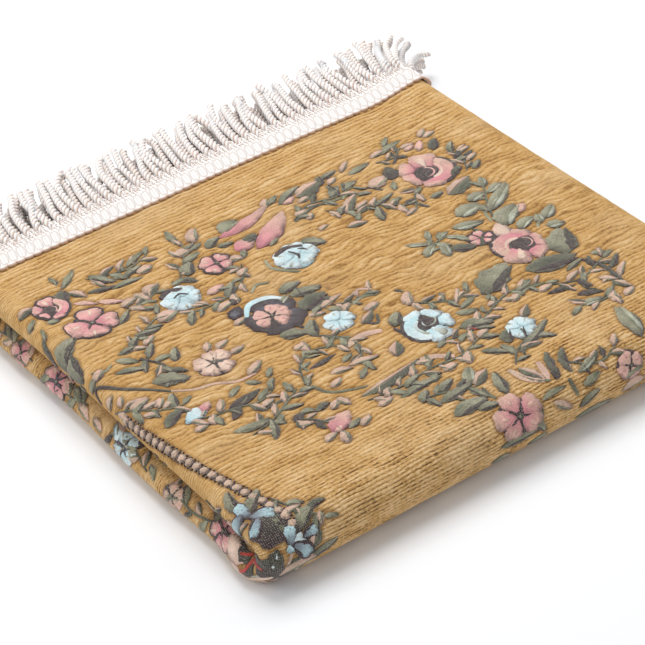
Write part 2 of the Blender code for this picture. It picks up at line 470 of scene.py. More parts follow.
class NodeKit:
    """Adds and joins shader nodes in one node tree."""

    def __init__(self, tree: bpy.types.NodeTree) -> None:
        """Keep the tree."""
        self.tree = tree

    def node(self, kind: str, inputs: dict | None = None, **settings) -> bpy.types.Node:
        """Add a node.

        Args:
            kind: The node's type.
            inputs: Values or sockets for its inputs, by name or number.
            **settings: Its other properties.

        Returns:
            The new node.
        """
        node = self.tree.nodes.new(kind)
        for name, value in settings.items():
            setattr(node, name, value)
        for name, value in (inputs or {}).items():
            if isinstance(value, Socket):
                self.tree.links.new(value, node.inputs[name])
            else:
                node.inputs[name].default_value = value
        return node

    def math(self, operation: str, *values) -> Socket:
        """Add a math node and return its output."""
        inputs = dict(enumerate(values))
        return self.node("ShaderNodeMath", inputs, operation=operation).outputs[0]

    def mix(self, share, first, second, blend: str = "MIX") -> Socket:
        """Mix two colours and return the result."""
        node = self.node("ShaderNodeMix", {0: share, 6: first, 7: second},
                         data_type="RGBA", blend_type=blend)
        return node.outputs[2]

    def ramp(self, value, low: float, high: float, start: float = 0.0, end: float = 1.0) -> Socket:
        """Map a value softly from one span to another and return it."""
        inputs = {"Value": value, 1: low, 2: high, 3: start, 4: end}
        return self.node("ShaderNodeMapRange", inputs, interpolation_type="SMOOTHSTEP").outputs[0]

    def grain(self, stitch: float, stretch: float) -> tuple[Socket, bpy.types.Node]:
        """Add the weave map and the yarn grain that follows it.

        Args:
            stitch: The grain's scale, in stitches to a metre.
            stretch: Its scale across the cloth as a share of that.

        Returns:
            The map's output and the grain's node.
        """
        place = self.node("ShaderNodeUVMap", uv_map="weave").outputs[0]
        inputs = {"Place": place, "Stitch": stitch, "Stretch": stretch}
        return place, self.node("ShaderNodeGroup", inputs, node_tree=YarnGrain.group())

    def finish(self, shader: bpy.types.Node, colour: Socket, height: Socket,
               bump: tuple[float, float], values: dict) -> None:
        """Join a shader to its colour and its bump, and set its plain values.

        Args:
            shader: The Principled shader.
            colour: Its colour.
            height: The height that the bump follows.
            bump: The bump's strength, and its depth in metres.
            values: Its other inputs, by name.
        """
        self.tree.links.new(colour, shader.inputs["Base Color"])
        relief = self.node("ShaderNodeBump", {"Strength": bump[0], "Distance": bump[1], "Height": height})
        self.tree.links.new(relief.outputs[0], shader.inputs["Normal"])
        for name, value in values.items():
            shader.inputs[name].default_value = value


class YarnGrain:
    """The shader group that gives yarn its fine stitches, tone and fuzz."""

    name = "yarn_grain"

    @classmethod
    def group(cls) -> bpy.types.NodeTree:
        """Return the group, built once.

        Returns:
            The node group, with Tone, Fleck and Height outputs.
        """
        if cls.name in bpy.data.node_groups:
            return bpy.data.node_groups[cls.name]
        tree = bpy.data.node_groups.new(cls.name, "ShaderNodeTree")
        for name, kind in (("Place", "NodeSocketVector"), ("Stitch", "NodeSocketFloat"),
                           ("Stretch", "NodeSocketFloat")):
            tree.interface.new_socket(name=name, in_out="INPUT", socket_type=kind)
        for name in ("Tone", "Fleck", "Height"):
            tree.interface.new_socket(name=name, in_out="OUTPUT", socket_type="NodeSocketFloat")
        kit = NodeKit(tree)
        entry = kit.node("NodeGroupInput")
        leave = kit.node("NodeGroupOutput")
        stretch = kit.node("ShaderNodeCombineXYZ",
                           {0: entry.outputs["Stretch"], 1: 1.0, 2: 1.0}).outputs[0]
        thread = kit.node("ShaderNodeVectorMath", {0: entry.outputs["Place"], 1: stretch},
                          operation="MULTIPLY").outputs[0]
        fine = kit.node("ShaderNodeTexNoise", {"Vector": thread,
                                               "Scale": entry.outputs["Stitch"],
                                               "Detail": 3.0, "Roughness": 0.65})
        broad_scale = kit.math("MULTIPLY", entry.outputs["Stitch"], 0.12)
        broad = kit.node("ShaderNodeTexNoise", {"Vector": thread, "Scale": broad_scale, "Detail": 2.0})
        tone = kit.math("ADD", kit.math("MULTIPLY", fine.outputs[0], 0.6),
                        kit.math("MULTIPLY", broad.outputs[0], 0.4))
        dot_scale = kit.math("MULTIPLY", entry.outputs["Stitch"], 0.85)
        dots = kit.node("ShaderNodeTexVoronoi", {"Vector": entry.outputs["Place"],
                                                 "Scale": dot_scale, "Randomness": 0.3})
        fleck = kit.ramp(dots.outputs["Distance"], 0.22, 0.46, 1.0, 0.0)
        height = kit.math("ADD", kit.math("MULTIPLY", fine.outputs[0], 0.92),
                          kit.math("MULTIPLY", fleck, 0.08))
        tree.links.new(tone, leave.inputs["Tone"])
        tree.links.new(fleck, leave.inputs["Fleck"])
        tree.links.new(height, leave.inputs["Height"])
        return tree


def start_material(name: str) -> tuple[Material, NodeKit, bpy.types.Node]:
    """Make an empty Principled material.

    Args:
        name: The material's name.

    Returns:
        The material, its node kit and its Principled shader.
    """
    material = bpy.data.materials.new(name)
    material.use_nodes = True
    kit = NodeKit(material.node_tree)
    return material, kit, material.node_tree.nodes["Principled BSDF"]


@dataclass(frozen=True)
class PileFinish:
    """Gold chenille ribs with fine broken threads, painted highlight on crests, painted shade in valleys.
    """

    # Painted light: the crest colour is a painted highlight, the valley colours painted shade in the
    # grooves.
    crest: tuple = linear(242, 209, 160)
    flank: tuple = linear(214, 168, 104)
    valley_shade: tuple = linear(138, 95, 50)
    front_valley_shade: tuple = linear(92, 60, 36)
    pale: tuple = linear(228, 200, 160)
    stitch: float = 1000.0
    stretch: float = 0.42
    bump: float = 0.0018

    def build(self) -> Material:
        """Return the material; it reads the pile's own relief attribute."""
        material, kit, shader = start_material("gold_chenille_pile")
        relief = kit.node("ShaderNodeAttribute", attribute_name="pile")
        parts = kit.node("ShaderNodeSeparateColor", {"Color": relief.outputs["Color"]})
        place, grain = kit.grain(self.stitch, self.stretch)
        down = kit.node("ShaderNodeSeparateXYZ", {0: place}).outputs[1]
        front = kit.ramp(down, 0.0, 0.06, 1.0, 0.0)
        spread = kit.math("ADD", 2.4, kit.math("MULTIPLY", front, 2.2))
        uneven = kit.math("MULTIPLY", kit.math("SUBTRACT", grain.outputs["Tone"], 0.5), spread)
        rib = kit.math("ADD", parts.outputs[0], uneven)
        # Painted shade in the valleys, deeper near the front, and a painted highlight on the crests.
        hollow_shade = kit.mix(front, self.valley_shade, self.front_valley_shade)
        low = kit.mix(kit.ramp(rib, -0.2, 0.6), hollow_shade, self.flank)
        colour = kit.mix(kit.ramp(rib, 0.45, 1.25), low, self.crest)
        colour = kit.mix(kit.ramp(parts.outputs[2], 0.5, 1.0, 0.0, 0.22), colour, self.pale)
        # Painted shade where the pile sinks round the woven flowers.
        shade = kit.ramp(parts.outputs[1], 0.1, 0.8, 0.0, 0.5)
        colour = kit.mix(shade, colour, self.valley_shade)
        kit.finish(shader, colour, grain.outputs["Height"], (1.0, self.bump),
                   {"Roughness": 0.92, "Specular IOR Level": 0.15, "Sheen Weight": 0.2,
                    "Sheen Roughness": 0.5, "Sheen Tint": linear(240, 214, 170)})
        return material


@dataclass(frozen=True)
class WovenFinish:
    """The dyed yarn of flowers and leaves, with small flecks of other threads."""

    dark_fleck: tuple = linear(58, 44, 46)
    pale_fleck: tuple = linear(226, 214, 200)
    stitch: float = 1000.0
    stretch: float = 0.7
    bump: float = 0.0007

    def build(self) -> Material:
        """Return the material; it reads the patch colours from the tint attribute."""
        material, kit, shader = start_material("woven_flower_yarn")
        tint = kit.node("ShaderNodeAttribute", attribute_name="tint")
        place, grain = kit.grain(self.stitch, self.stretch)
        tone = kit.ramp(grain.outputs["Tone"], 0.36, 0.64, -0.42, 0.36)
        calm = kit.math("ADD", 0.35, kit.math("MULTIPLY", tint.outputs["Alpha"], 0.75))
        tone = kit.math("ADD", 1.0, kit.math("MULTIPLY", tone, calm))
        tones = kit.node("ShaderNodeCombineColor", {0: tone, 1: tone, 2: tone}).outputs[0]
        colour = kit.mix(1.0, tint.outputs["Color"], tones, "MULTIPLY")
        sparse = kit.node("ShaderNodeTexNoise", {"Vector": place, "Scale": 700.0})
        fleck = kit.math("MULTIPLY", grain.outputs["Fleck"], tint.outputs["Alpha"])
        pale = kit.math("MULTIPLY", fleck, 0.3)
        dark = kit.math("MULTIPLY", fleck, kit.ramp(sparse.outputs[0], 0.5, 0.4))
        colour = kit.mix(pale, colour, self.pale_fleck)
        colour = kit.mix(dark, colour, self.dark_fleck)
        kit.finish(shader, colour, grain.outputs["Height"], (0.8, self.bump),
                   {"Roughness": 0.9, "Specular IOR Level": 0.15, "Sheen Weight": 0.3,
                    "Sheen Roughness": 0.5})
        return material


@dataclass(frozen=True)
class CordFinish:
    """Cream fringe yarn: soft lustre, fine spun threads, warm shade in the hollows."""

    cream: tuple = linear(251, 248, 246)
    shade: tuple = linear(200, 174, 160)
    stitch: float = 1500.0
    stretch: float = 3.0
    bump: float = 0.00015

    def build(self) -> Material:
        """Return the material; the tint attribute's red is how deep a point lies."""
        material, kit, shader = start_material("cream_fringe_yarn")
        tint = kit.node("ShaderNodeAttribute", attribute_name="tint")
        _, grain = kit.grain(self.stitch, self.stretch)
        deep = kit.node("ShaderNodeSeparateColor", {"Color": tint.outputs["Color"]}).outputs[0]
        toned = kit.math("ADD", deep, kit.math("MULTIPLY", grain.outputs["Tone"], 0.25))
        colour = kit.mix(kit.ramp(toned, 0.15, 1.1), self.cream, self.shade)
        kit.finish(shader, colour, grain.outputs["Height"], (0.6, self.bump),
                   {"Roughness": 0.6, "Specular IOR Level": 0.3, "Sheen Weight": 0.2,
                    "Subsurface Weight": 0.5, "Subsurface Scale": 0.004,
                    "Subsurface Radius": (1.0, 0.8, 0.65)})
        return material


@dataclass(frozen=True)
class HeadingFinish:
    """The heading's cream yarn: upright threads in rows of ovals, and small holes at the cords.

    The weave map gives the place over the cloth, and the place up the heading from the cords.
    """

    cream: tuple = linear(250, 247, 244)
    shade: tuple = linear(190, 162, 148)
    oval_pitch: float = 0.006
    thread_pitch: float = 0.002
    body_start: float = 0.0045
    body_end: float = 0.0166
    hole_step: tuple = (0.0026, 0.0021)
    bump: float = 0.0007

    def ovals(self, kit: NodeKit, across: Socket, up: Socket) -> Socket:
        """Return how deep the lines round the ovals lie.

        Args:
            kit: The material's node kit.
            across: The place over the cloth.
            up: The place up the heading.

        Returns:
            Depths from 0 to 1.
        """
        middle = (self.body_start + self.body_end) / 2
        half = (self.body_end - self.body_start) / 2
        lean = kit.math("ADD", across, kit.math("MULTIPLY", up, 0.25))
        cell = kit.math("SUBTRACT", kit.math("FRACT", kit.math("DIVIDE", lean, self.oval_pitch)), 0.5)
        wide = kit.math("POWER", kit.math("ABSOLUTE", kit.math("MULTIPLY", cell, 2.1)), 3.0)
        tall = kit.math("DIVIDE", kit.math("SUBTRACT", up, middle), half)
        tall = kit.math("POWER", kit.math("ABSOLUTE", tall), 3.0)
        radius = kit.math("ADD", wide, tall)
        rim = kit.ramp(kit.math("ABSOLUTE", kit.math("SUBTRACT", radius, 0.72)), 0.05, 0.34, 0.8, 0.0)
        thread = kit.math("SINE", kit.math("MULTIPLY", lean, math.tau / self.thread_pitch))
        return kit.math("MAXIMUM", rim, kit.ramp(thread, 0.2, 1.0, 0.0, 0.6))

    def holes(self, kit: NodeKit, across: Socket, up: Socket) -> Socket:
        """Return how deep the small holes between the cords' roots lie.

        Args:
            kit: The material's node kit.
            across: The place over the cloth.
            up: The place up the heading.

        Returns:
            Depths from 0 to 1.
        """
        steps = {0: kit.math("DIVIDE", across, self.hole_step[0]),
                 1: kit.math("DIVIDE", up, self.hole_step[1])}
        cells = kit.node("ShaderNodeCombineXYZ", steps).outputs[0]
        dots = kit.node("ShaderNodeTexVoronoi", {"Vector": cells, "Scale": 1.0,
                                                 "Randomness": 0.25}, voronoi_dimensions="2D")
        return kit.ramp(dots.outputs["Distance"], 0.2, 0.42, 1.0, 0.0)

    def build(self) -> Material:
        """Return the material."""
        material, kit, shader = start_material("cream_fringe_heading")
        place = kit.node("ShaderNodeUVMap", uv_map="weave").outputs[0]
        parts = kit.node("ShaderNodeSeparateXYZ", {0: place})
        across, up = parts.outputs[0], parts.outputs[1]
        body = kit.ramp(up, self.body_start - 0.0008, self.body_start + 0.0004)
        lines = kit.math("MULTIPLY", self.ovals(kit, across, up), body)
        holes = kit.math("MULTIPLY", self.holes(kit, across, up), kit.math("SUBTRACT", 1.0, body))
        deep = kit.math("MAXIMUM", kit.math("MULTIPLY", lines, 0.6), holes)
        colour = kit.mix(deep, self.cream, self.shade)
        height = kit.math("SUBTRACT", 1.0, kit.math("MAXIMUM", lines, holes))
        kit.finish(shader, colour, height, (0.8, self.bump),
                   {"Roughness": 0.65, "Specular IOR Level": 0.3, "Sheen Weight": 0.2})
        return material


@dataclass(frozen=True)
class BackingFinish:
    """The plain woven ground under the pile."""

    ground: tuple = linear(176, 132, 78)
    thread: tuple = linear(206, 170, 120)
    stitch: float = 1000.0
    stretch: float = 0.4
    bump: float = 0.0003

    def build(self) -> Material:
        """Return the material."""
        material, kit, shader = start_material("woven_backing")
        _, grain = kit.grain(self.stitch, self.stretch)
        tone = kit.ramp(grain.outputs["Tone"], 0.35, 0.65)
        colour = kit.mix(tone, self.ground, self.thread)
        kit.finish(shader, colour, grain.outputs["Height"], (0.5, self.bump),
                   {"Roughness": 0.95, "Specular IOR Level": 0.1})
        return material


@dataclass
class Backing:
    """The one woven cloth, a thin closed sheet through all eight layers."""

    folds: FoldMap
    thickness: float = 0.0015
    seat: float = 0.0011
    clearance: float = 0.0012
    face_steps: int = 12
    roll_steps: int = 8
    flap_steps: int = 6
    turn_steps: int = 8

    def columns(self, along: float) -> Array:
        """Return places across where the faces meet.

        Args:
            along: Place along the strip.

        Returns:
            Places across, left to right.
        """
        sides = []
        for side in (-1.0, 1.0):
            half = float(self.folds.face_half(np.array(side), np.array(along)))
            roll = half + math.pi * self.folds.roll_radius
            steps = [np.linspace(0, half, self.face_steps, endpoint=False),
                     np.linspace(half, roll, self.roll_steps, endpoint=False),
                     np.linspace(roll, self.folds.cloth_width / 2, self.flap_steps)]
            sides.append(np.concatenate(steps))
        return np.concatenate([-sides[0][:0:-1], sides[1]])

    def rows(self) -> list[Point]:
        """Return the place along and the turn of each row, from one fringed end to the other.

        Returns:
            Pairs of place along and angle: 0 on the outer layer, pi on the inner one.
        """
        folds = self.folds
        front = folds.top_run + folds.bend
        run = np.concatenate([
            np.linspace(0, folds.top_run, 24, endpoint=False),
            np.linspace(folds.top_run, front, 14, endpoint=False),
            np.linspace(front, folds.strip_length, 24, endpoint=False)])
        rows = [(along, 0.0) for along in run]
        rows += [(folds.strip_length, angle) for angle in np.linspace(0, math.pi, self.turn_steps + 1)]
        return rows + [(max(along, folds.inner_setback), math.pi) for along in run[::-1]]

    def build(self, material: Material) -> Piece:
        """Make the sheet.

        Args:
            material: Its finish.

        Returns:
            The closed sheet.
        """
        rows = self.rows()
        sheets = []
        for face in (1.0, -1.0):
            points, places = [], []
            reach = self.seat + self.thickness / 2 * face
            for index, (along, angle) in enumerate(rows):
                columns = self.columns(along)
                points.append(self.folds.fold(columns, along + reach * math.sin(angle),
                                              reach * math.cos(angle)))
                places.append(np.stack([columns, np.full_like(columns, index * 0.01)], axis=-1))
            sheets.append((np.concatenate(points), np.concatenate(places)))
        width = len(self.columns(0.0))
        points = np.concatenate([sheet[0] for sheet in sheets])
        points[:, 2] = np.maximum(points[:, 2], self.clearance)
        kit = MeshKit()
        kit.add(points, slab_faces(len(rows), width),
                np.concatenate([sheet[1] for sheet in sheets]), np.ones(4))
        return kit.make("rug_backing", material)


@dataclass
class Loom:
    """A chart of where the woven flowers lie, so that the pile can sink under and round them."""

    cell: float = 0.6
    left: float = -215.0
    low: float = -350.0
    columns: int = 720
    rows: int = 1140
    spread: int = 2
    wide_spread: int = 6
    cover: Array = field(init=False)
    near: Array = field(init=False)

    def __post_init__(self) -> None:
        """Start with a bare chart."""
        self.cover = np.zeros((self.columns, self.rows))

    def mark(self, outline: Array) -> None:
        """Mark the inside of an outline.

        Args:
            outline: Its points in order, as x and y in millimetres.
        """
        start = ((outline.min(axis=0) - (self.left, self.low)) / self.cell).astype(int)
        end = ((outline.max(axis=0) - (self.left, self.low)) / self.cell).astype(int) + 2
        start = np.maximum(start, 0)
        end = np.minimum(end, (self.columns, self.rows))
        if (end <= start).any():
            return
        x = self.left + np.arange(start[0], end[0])[:, None] * self.cell
        y = self.low + np.arange(start[1], end[1])[None, :] * self.cell
        inside = np.zeros((end[0] - start[0], end[1] - start[1]), dtype=bool)
        for (x0, y0), (x1, y1) in zip(outline, np.roll(outline, -1, axis=0)):
            if y0 == y1:
                continue
            crosses = (y0 > y) != (y1 > y)
            inside ^= crosses & (x < x0 + (x1 - x0) * (y - y0) / (y1 - y0))
        part = self.cover[start[0]:end[0], start[1]:end[1]]
        part[inside] = 1.0

    def blur(self, spread: int) -> Array:
        """Return the chart blurred by a number of cells to each side."""
        chart = self.cover
        for axis in (0, 1):
            total = np.zeros_like(chart)
            for shift in range(-spread, spread + 1):
                total += np.roll(chart, shift, axis=axis)
            chart = total / (2 * spread + 1)
        return chart

    def soften(self) -> None:
        """Blur the chart so that the pile sinks softly at each edge and puffs up beside it."""
        self.near = self.blur(self.wide_spread)
        self.cover = self.blur(self.spread)

    def at(self, chart: Array, x: Array, y: Array) -> Array:
        """Return a chart's values at places.

        Args:
            chart: The cover or the nearness.
            x: Cloth places across, in millimetres.
            y: Cloth places along, in millimetres.

        Returns:
            Values from 0 to 1.
        """
        column = np.clip((x - self.left) / self.cell, 0, self.columns - 1.001)
        row = np.clip((y - self.low) / self.cell, 0, self.rows - 1.001)
        near, low = column.astype(int), row.astype(int)
        right, up = column - near, row - low
        bottom = chart[near, low] * (1 - right) + chart[near + 1, low] * right
        top = chart[near, low + 1] * (1 - right) + chart[near + 1, low + 1] * right
        return bottom * (1 - up) + top * up


@dataclass
class Pile:
    """The gold pile: soft ribs that run across the rug, broken and puffed between flowers."""

    folds: FoldMap
    loom: Loom
    depth_mm: float = 1.4
    seat_mm: float = -0.45
    sunk_mm: float = -0.55
    beside_mm: float = 0.8
    fullness: float = 0.75
    roll_from: float = 158.0
    roll_pitch: float = 1.9
    top_mm: float = 1.05
    face_half: float = 162.0
    face_step: float = 2.4
    clearance: float = 0.0002
    inner_every: int = 12
    # How the ribs change down the rug. Columns: y, pitch, height, waviness, puff.
    ribs: Rows = (
        (-340.0, 2.7, 0.80, 0.40, 0.05),
        (-60.0, 2.5, 0.80, 0.35, 0.0),
        (-30.0, 2.1, 0.60, 0.30, 0.0),
        (8.0, 2.2, 0.70, 0.32, 0.0),
        (22.0, 2.6, 0.95, 0.42, 0.0),
        (60.0, 3.1, 1.10, 0.60, 0.35),
        (110.0, 3.9, 1.15, 0.85, 0.75),
        (230.0, 4.1, 1.20, 0.80, 0.70),
        (270.0, 3.5, 1.15, 0.52, 0.30),
        (305.0, 3.3, 1.15, 0.42, 0.20),
    )
    wave: SoftNoise = field(default_factory=lambda: SoftNoise(11))
    swell: SoftNoise = field(default_factory=lambda: SoftNoise(12))
    nap: SoftNoise = field(default_factory=lambda: SoftNoise(13))

    def rib_share(self, x: Array, y: Array) -> tuple[Array, ...]:
        """Return the ribs' relief at cloth places.

        Args:
            x: Places across, in millimetres.
            y: Places along, in millimetres.

        Returns:
            The rib's height from 0 to 1, its height and its puff in millimetres.
        """
        table = np.array(self.ribs)
        pitch, height, waviness, puff = (
            np.interp(y, table[:, 0], table[:, column]) for column in range(1, 5))
        steps = np.linspace(table[0, 0], table[-1, 0], 2600)
        turns = 1.0 / np.interp(steps, table[:, 0], table[:, 1])
        phase = np.interp(y, steps, np.cumsum(turns) * (steps[1] - steps[0]))
        drift = 0.9 * self.wave.at(x / 30.0, y / 20.0) + 0.8 * self.wave.at(x / 10.5, y / 6.0)
        drift = drift + 0.25 * self.nap.at(x / 5.0, y / 2.6)
        crest = np.abs(np.sin(math.pi * (phase + waviness * drift))) ** self.fullness
        broken = 0.5 + 0.5 * self.swell.at(x / 10.0, y / (1.2 * pitch))
        roll = ease((np.abs(x) - self.roll_from) / 8.0)
        fine = np.abs(np.sin(math.pi * y / self.roll_pitch + 1.3 * drift)) ** 0.6
        crest = crest + (fine - crest) * roll
        height = height * (1.0 - 0.62 * roll)
        crest = crest * (1.0 - 0.62 * waviness * (1.0 - broken))
        tufts = 0.6 * self.swell.at(x / 21.0, y / 11.0) + 0.7 * self.nap.at(x / 8.5, y / 3.4)
        return crest, height, puff * (0.45 + tufts) * (1.0 - 0.9 * roll)

    def stretch(self, name: str, x_places: Array, y_places: Array, material: Material) -> Piece:
        """Make one stretch of the pile, a closed slab with a ribbed outer face.

        Args:
            name: The piece's name.
            x_places: Its columns, in millimetres.
            y_places: Its rows, from the fringed end down, in millimetres.
            material: Its finish.

        Returns:
            The new piece.
        """
        x, y = np.meshgrid(x_places, y_places)
        x, y = x.ravel(), y.ravel()
        crest, height, puff = self.rib_share(x, y)
        cover = self.loom.at(self.loom.cover, x, y)
        beside = self.loom.at(self.loom.near, x, y) * (1.0 - cover)
        lift = self.seat_mm + crest * height + puff + self.beside_mm * beside
        lift = np.minimum(lift, self.top_mm)
        outer = self.folds.lay(x, y, lift + (self.sunk_mm - lift) * cover)
        keep = np.unique(np.append(np.arange(0, len(x_places), self.inner_every), len(x_places) - 1))
        x_in, y_in = np.meshgrid(x_places[keep], y_places)
        inner = self.folds.lay(x_in.ravel(), y_in.ravel(), -self.depth_mm)
        points = np.concatenate([outer, inner])
        points[:, 2] = np.maximum(points[:, 2], self.clearance)
        tone = 0.5 + 0.5 * self.swell.at(x / 38.0, y / 27.0)
        # The pile attribute holds the rib height and the flowers' cover, which the finish turns into
        # painted highlight and painted shade, and a random tone.
        paint = np.ones((len(points), 4))
        paint[:len(x)] = np.stack([crest, cover, tone, np.ones_like(x)], axis=-1)
        places = np.concatenate([np.stack([x, y], axis=-1),
                                 np.stack([x_in.ravel(), y_in.ravel()], axis=-1)]) * MM
        rows, wide, slim = len(y_places), len(x_places), len(keep)
        faces = grid_faces(rows, wide)
        first = rows * wide
        faces += [[first + index for index in reversed(face)] for face in grid_faces(rows, slim)]
        faces += self.walls(rows, wide, slim, first)
        kit = MeshKit()
        kit.add(points, faces, places, paint)
        return kit.make(name, material, crease=75.0, tint="pile")

    @staticmethod
    def walls(rows: int, wide: int, slim: int, first: int) -> list[list[int]]:
        """Return the faces that close a slab whose inner face has fewer columns.

        Args:
            rows: Rows of both faces.
            wide: Columns of the outer face.
            slim: Columns of the inner face.
            first: Index of the inner face's first point.

        Returns:
            Quads down both sides and one face at each end.
        """
        faces = []
        for row in range(rows - 1):
            left, right = row * wide, row * wide + wide - 1
            low_left, low_right = first + row * slim, first + row * slim + slim - 1
            faces.append([left + wide, left, low_left, low_left + slim])
            faces.append([right, right + wide, low_right + slim, low_right])
        last = (rows - 1) * wide
        low_last = first + (rows - 1) * slim
        faces.append(list(range(wide)) + list(range(first + slim - 1, first - 1, -1)))
        faces.append(list(range(last + wide - 1, last - 1, -1)) + list(range(low_last, low_last + slim)))
        return faces

    def build(self, material: Material) -> list[Piece]:
        """Make the pile's three stretches.

        Args:
            material: Their finish.

        Returns:
            The pieces, from the fringed end round to the end-to-end fold.
        """
        half, middle, bend = self.face_half, 150.0, 15.0
        roll = half + 2.0 + np.arange(0.0, 38.0, 1.6)
        fine = np.concatenate([-roll[::-1], np.arange(-half, half + 0.1, self.face_step), roll])
        coarse = np.concatenate([-roll[::-1], np.linspace(-half, half, 28), roll])
        # Each stretch runs a little past the start of the next.
        back = np.append(np.arange(303.2, middle, -0.6), middle - 0.1)
        front = np.concatenate([np.arange(middle, bend, -0.6), np.arange(bend, -42.0, -0.42)])
        under = np.arange(-41.8, -357.0, -0.95)
        return [self.stretch("pile_fringed_half", fine, back, material),
                self.stretch("pile_front_half", fine, front, material),
                self.stretch("pile_underside", coarse, under, material)]


@dataclass(frozen=True)
class Dress:
    """The yarns of a woven patch: from the first to the second, with flecks and an edge."""

    first: Yarn
    second: Yarn
    way: Way = Way.ALONG
    fleck: float = 0.25
    edge: Yarn | None = None


class Look(Enum):
    """The named dresses of leaves and petals."""

    SAGE = Dress(Yarn.SAGE, Yarn.LEAF, Way.ALONG, 0.35)
    PALE = Dress(Yarn.SAGE, Yarn.LEAF, Way.ACROSS, 0.5)
    FOAM = Dress(Yarn.FOAM, Yarn.SAGE, Way.ALONG, 0.5)
    LIGHT = Dress(Yarn.MIST, Yarn.SAGE, Way.ALONG, 0.2)
    LEAF = Dress(Yarn.LEAF, Yarn.SAGE, Way.ALONG, 0.7)
    MOSS = Dress(Yarn.MOSS, Yarn.LEAF, Way.OUTWARDS, 0.8)
    DARK = Dress(Yarn.PLUM, Yarn.MOSS, Way.ALONG, 0.9)
    PLUM = Dress(Yarn.PLUM, Yarn.PLUM, Way.ALONG, 1.0)
    BLUSH = Dress(Yarn.SAND, Yarn.BLUSH, Way.ALONG, 0.3)
    CREAM = Dress(Yarn.STRAW, Yarn.BLUSH, Way.OUTWARDS, 0.1)
    ROSE = Dress(Yarn.ROSE, Yarn.BLUSH, Way.ALONG, 0.2)
    PEACH = Dress(Yarn.BLUSH, Yarn.PEACH, Way.ALONG, 0.1)
    RED = Dress(Yarn.RED, Yarn.RED, Way.ALONG, 0.7)
    SKY = Dress(Yarn.SKY, Yarn.MIST, Way.ALONG, 0.1)
    SLATE = Dress(Yarn.SLATE, Yarn.PLUM, Way.ALONG, 0.6, Yarn.PLUM)
    BUD = Dress(Yarn.ROSE, Yarn.PEACH, Way.ALONG, 0.3, Yarn.PLUM)
    TWIN = Dress(Yarn.SAND, Yarn.MOSS, Way.ACROSS, 0.3)
    BEAD = Dress(Yarn.SAND, Yarn.SAND, Way.ALONG, 0.6)
    DUSK = Dress(Yarn.SLATE, Yarn.SKY, Way.ALONG, 0.5, Yarn.PLUM)


# The sliver of a second yarn that shades one side of a longer leaf.
SLIVERS = {Look.BLUSH: Look.LEAF, Look.LEAF: Look.DARK, Look.SAGE: Look.LEAF,
           Look.MOSS: Look.PLUM, Look.PALE: Look.FOAM}

# The streak of a second yarn down each petal of a flower.
STREAKS = {Look.ROSE: Look.PEACH, Look.BUD: Look.CREAM, Look.SKY: Look.LIGHT,
           Look.CREAM: Look.BLUSH, Look.BLUSH: Look.PEACH, Look.PEACH: Look.ROSE, Look.SLATE: Look.PLUM}


class Shape(Enum):
    """The outlines of woven patches."""

    LEAF = "leaf"
    PETAL = "petal"
    LOBED = "lobed"
    OVAL = "oval"


@dataclass(frozen=True)
class Flower:
    """A generic woven flower: petals round a heart."""

    x: float
    y: float
    radius: float
    petals: int
    turn: float
    look: Look
    heart: Look
    lift: float = 0.0
    squash: float = 0.85


class Line:
    """A route through points, with places measured along it in millimetres."""

    def __init__(self, points: list[Point]) -> None:
        """Measure the route.

        Args:
            points: Points it passes, in millimetres.
        """
        self.knots = np.array(points, float)
        steps = np.linalg.norm(np.diff(self.knots, axis=0), axis=1)
        self.runs = np.append(0.0, np.cumsum(steps))
        self.length = self.runs[-1]

    def at(self, place: float) -> Point:
        """Return the point at a place."""
        return tuple(float(np.interp(place, self.runs, column)) for column in self.knots.T)

    def heading(self, start: float, end: float) -> float:
        """Return the direction from one place to another, in degrees."""
        (x_start, y_start), (x_end, y_end) = self.at(start), self.at(end)
        return math.degrees(math.atan2(y_end - y_start, x_end - x_start))


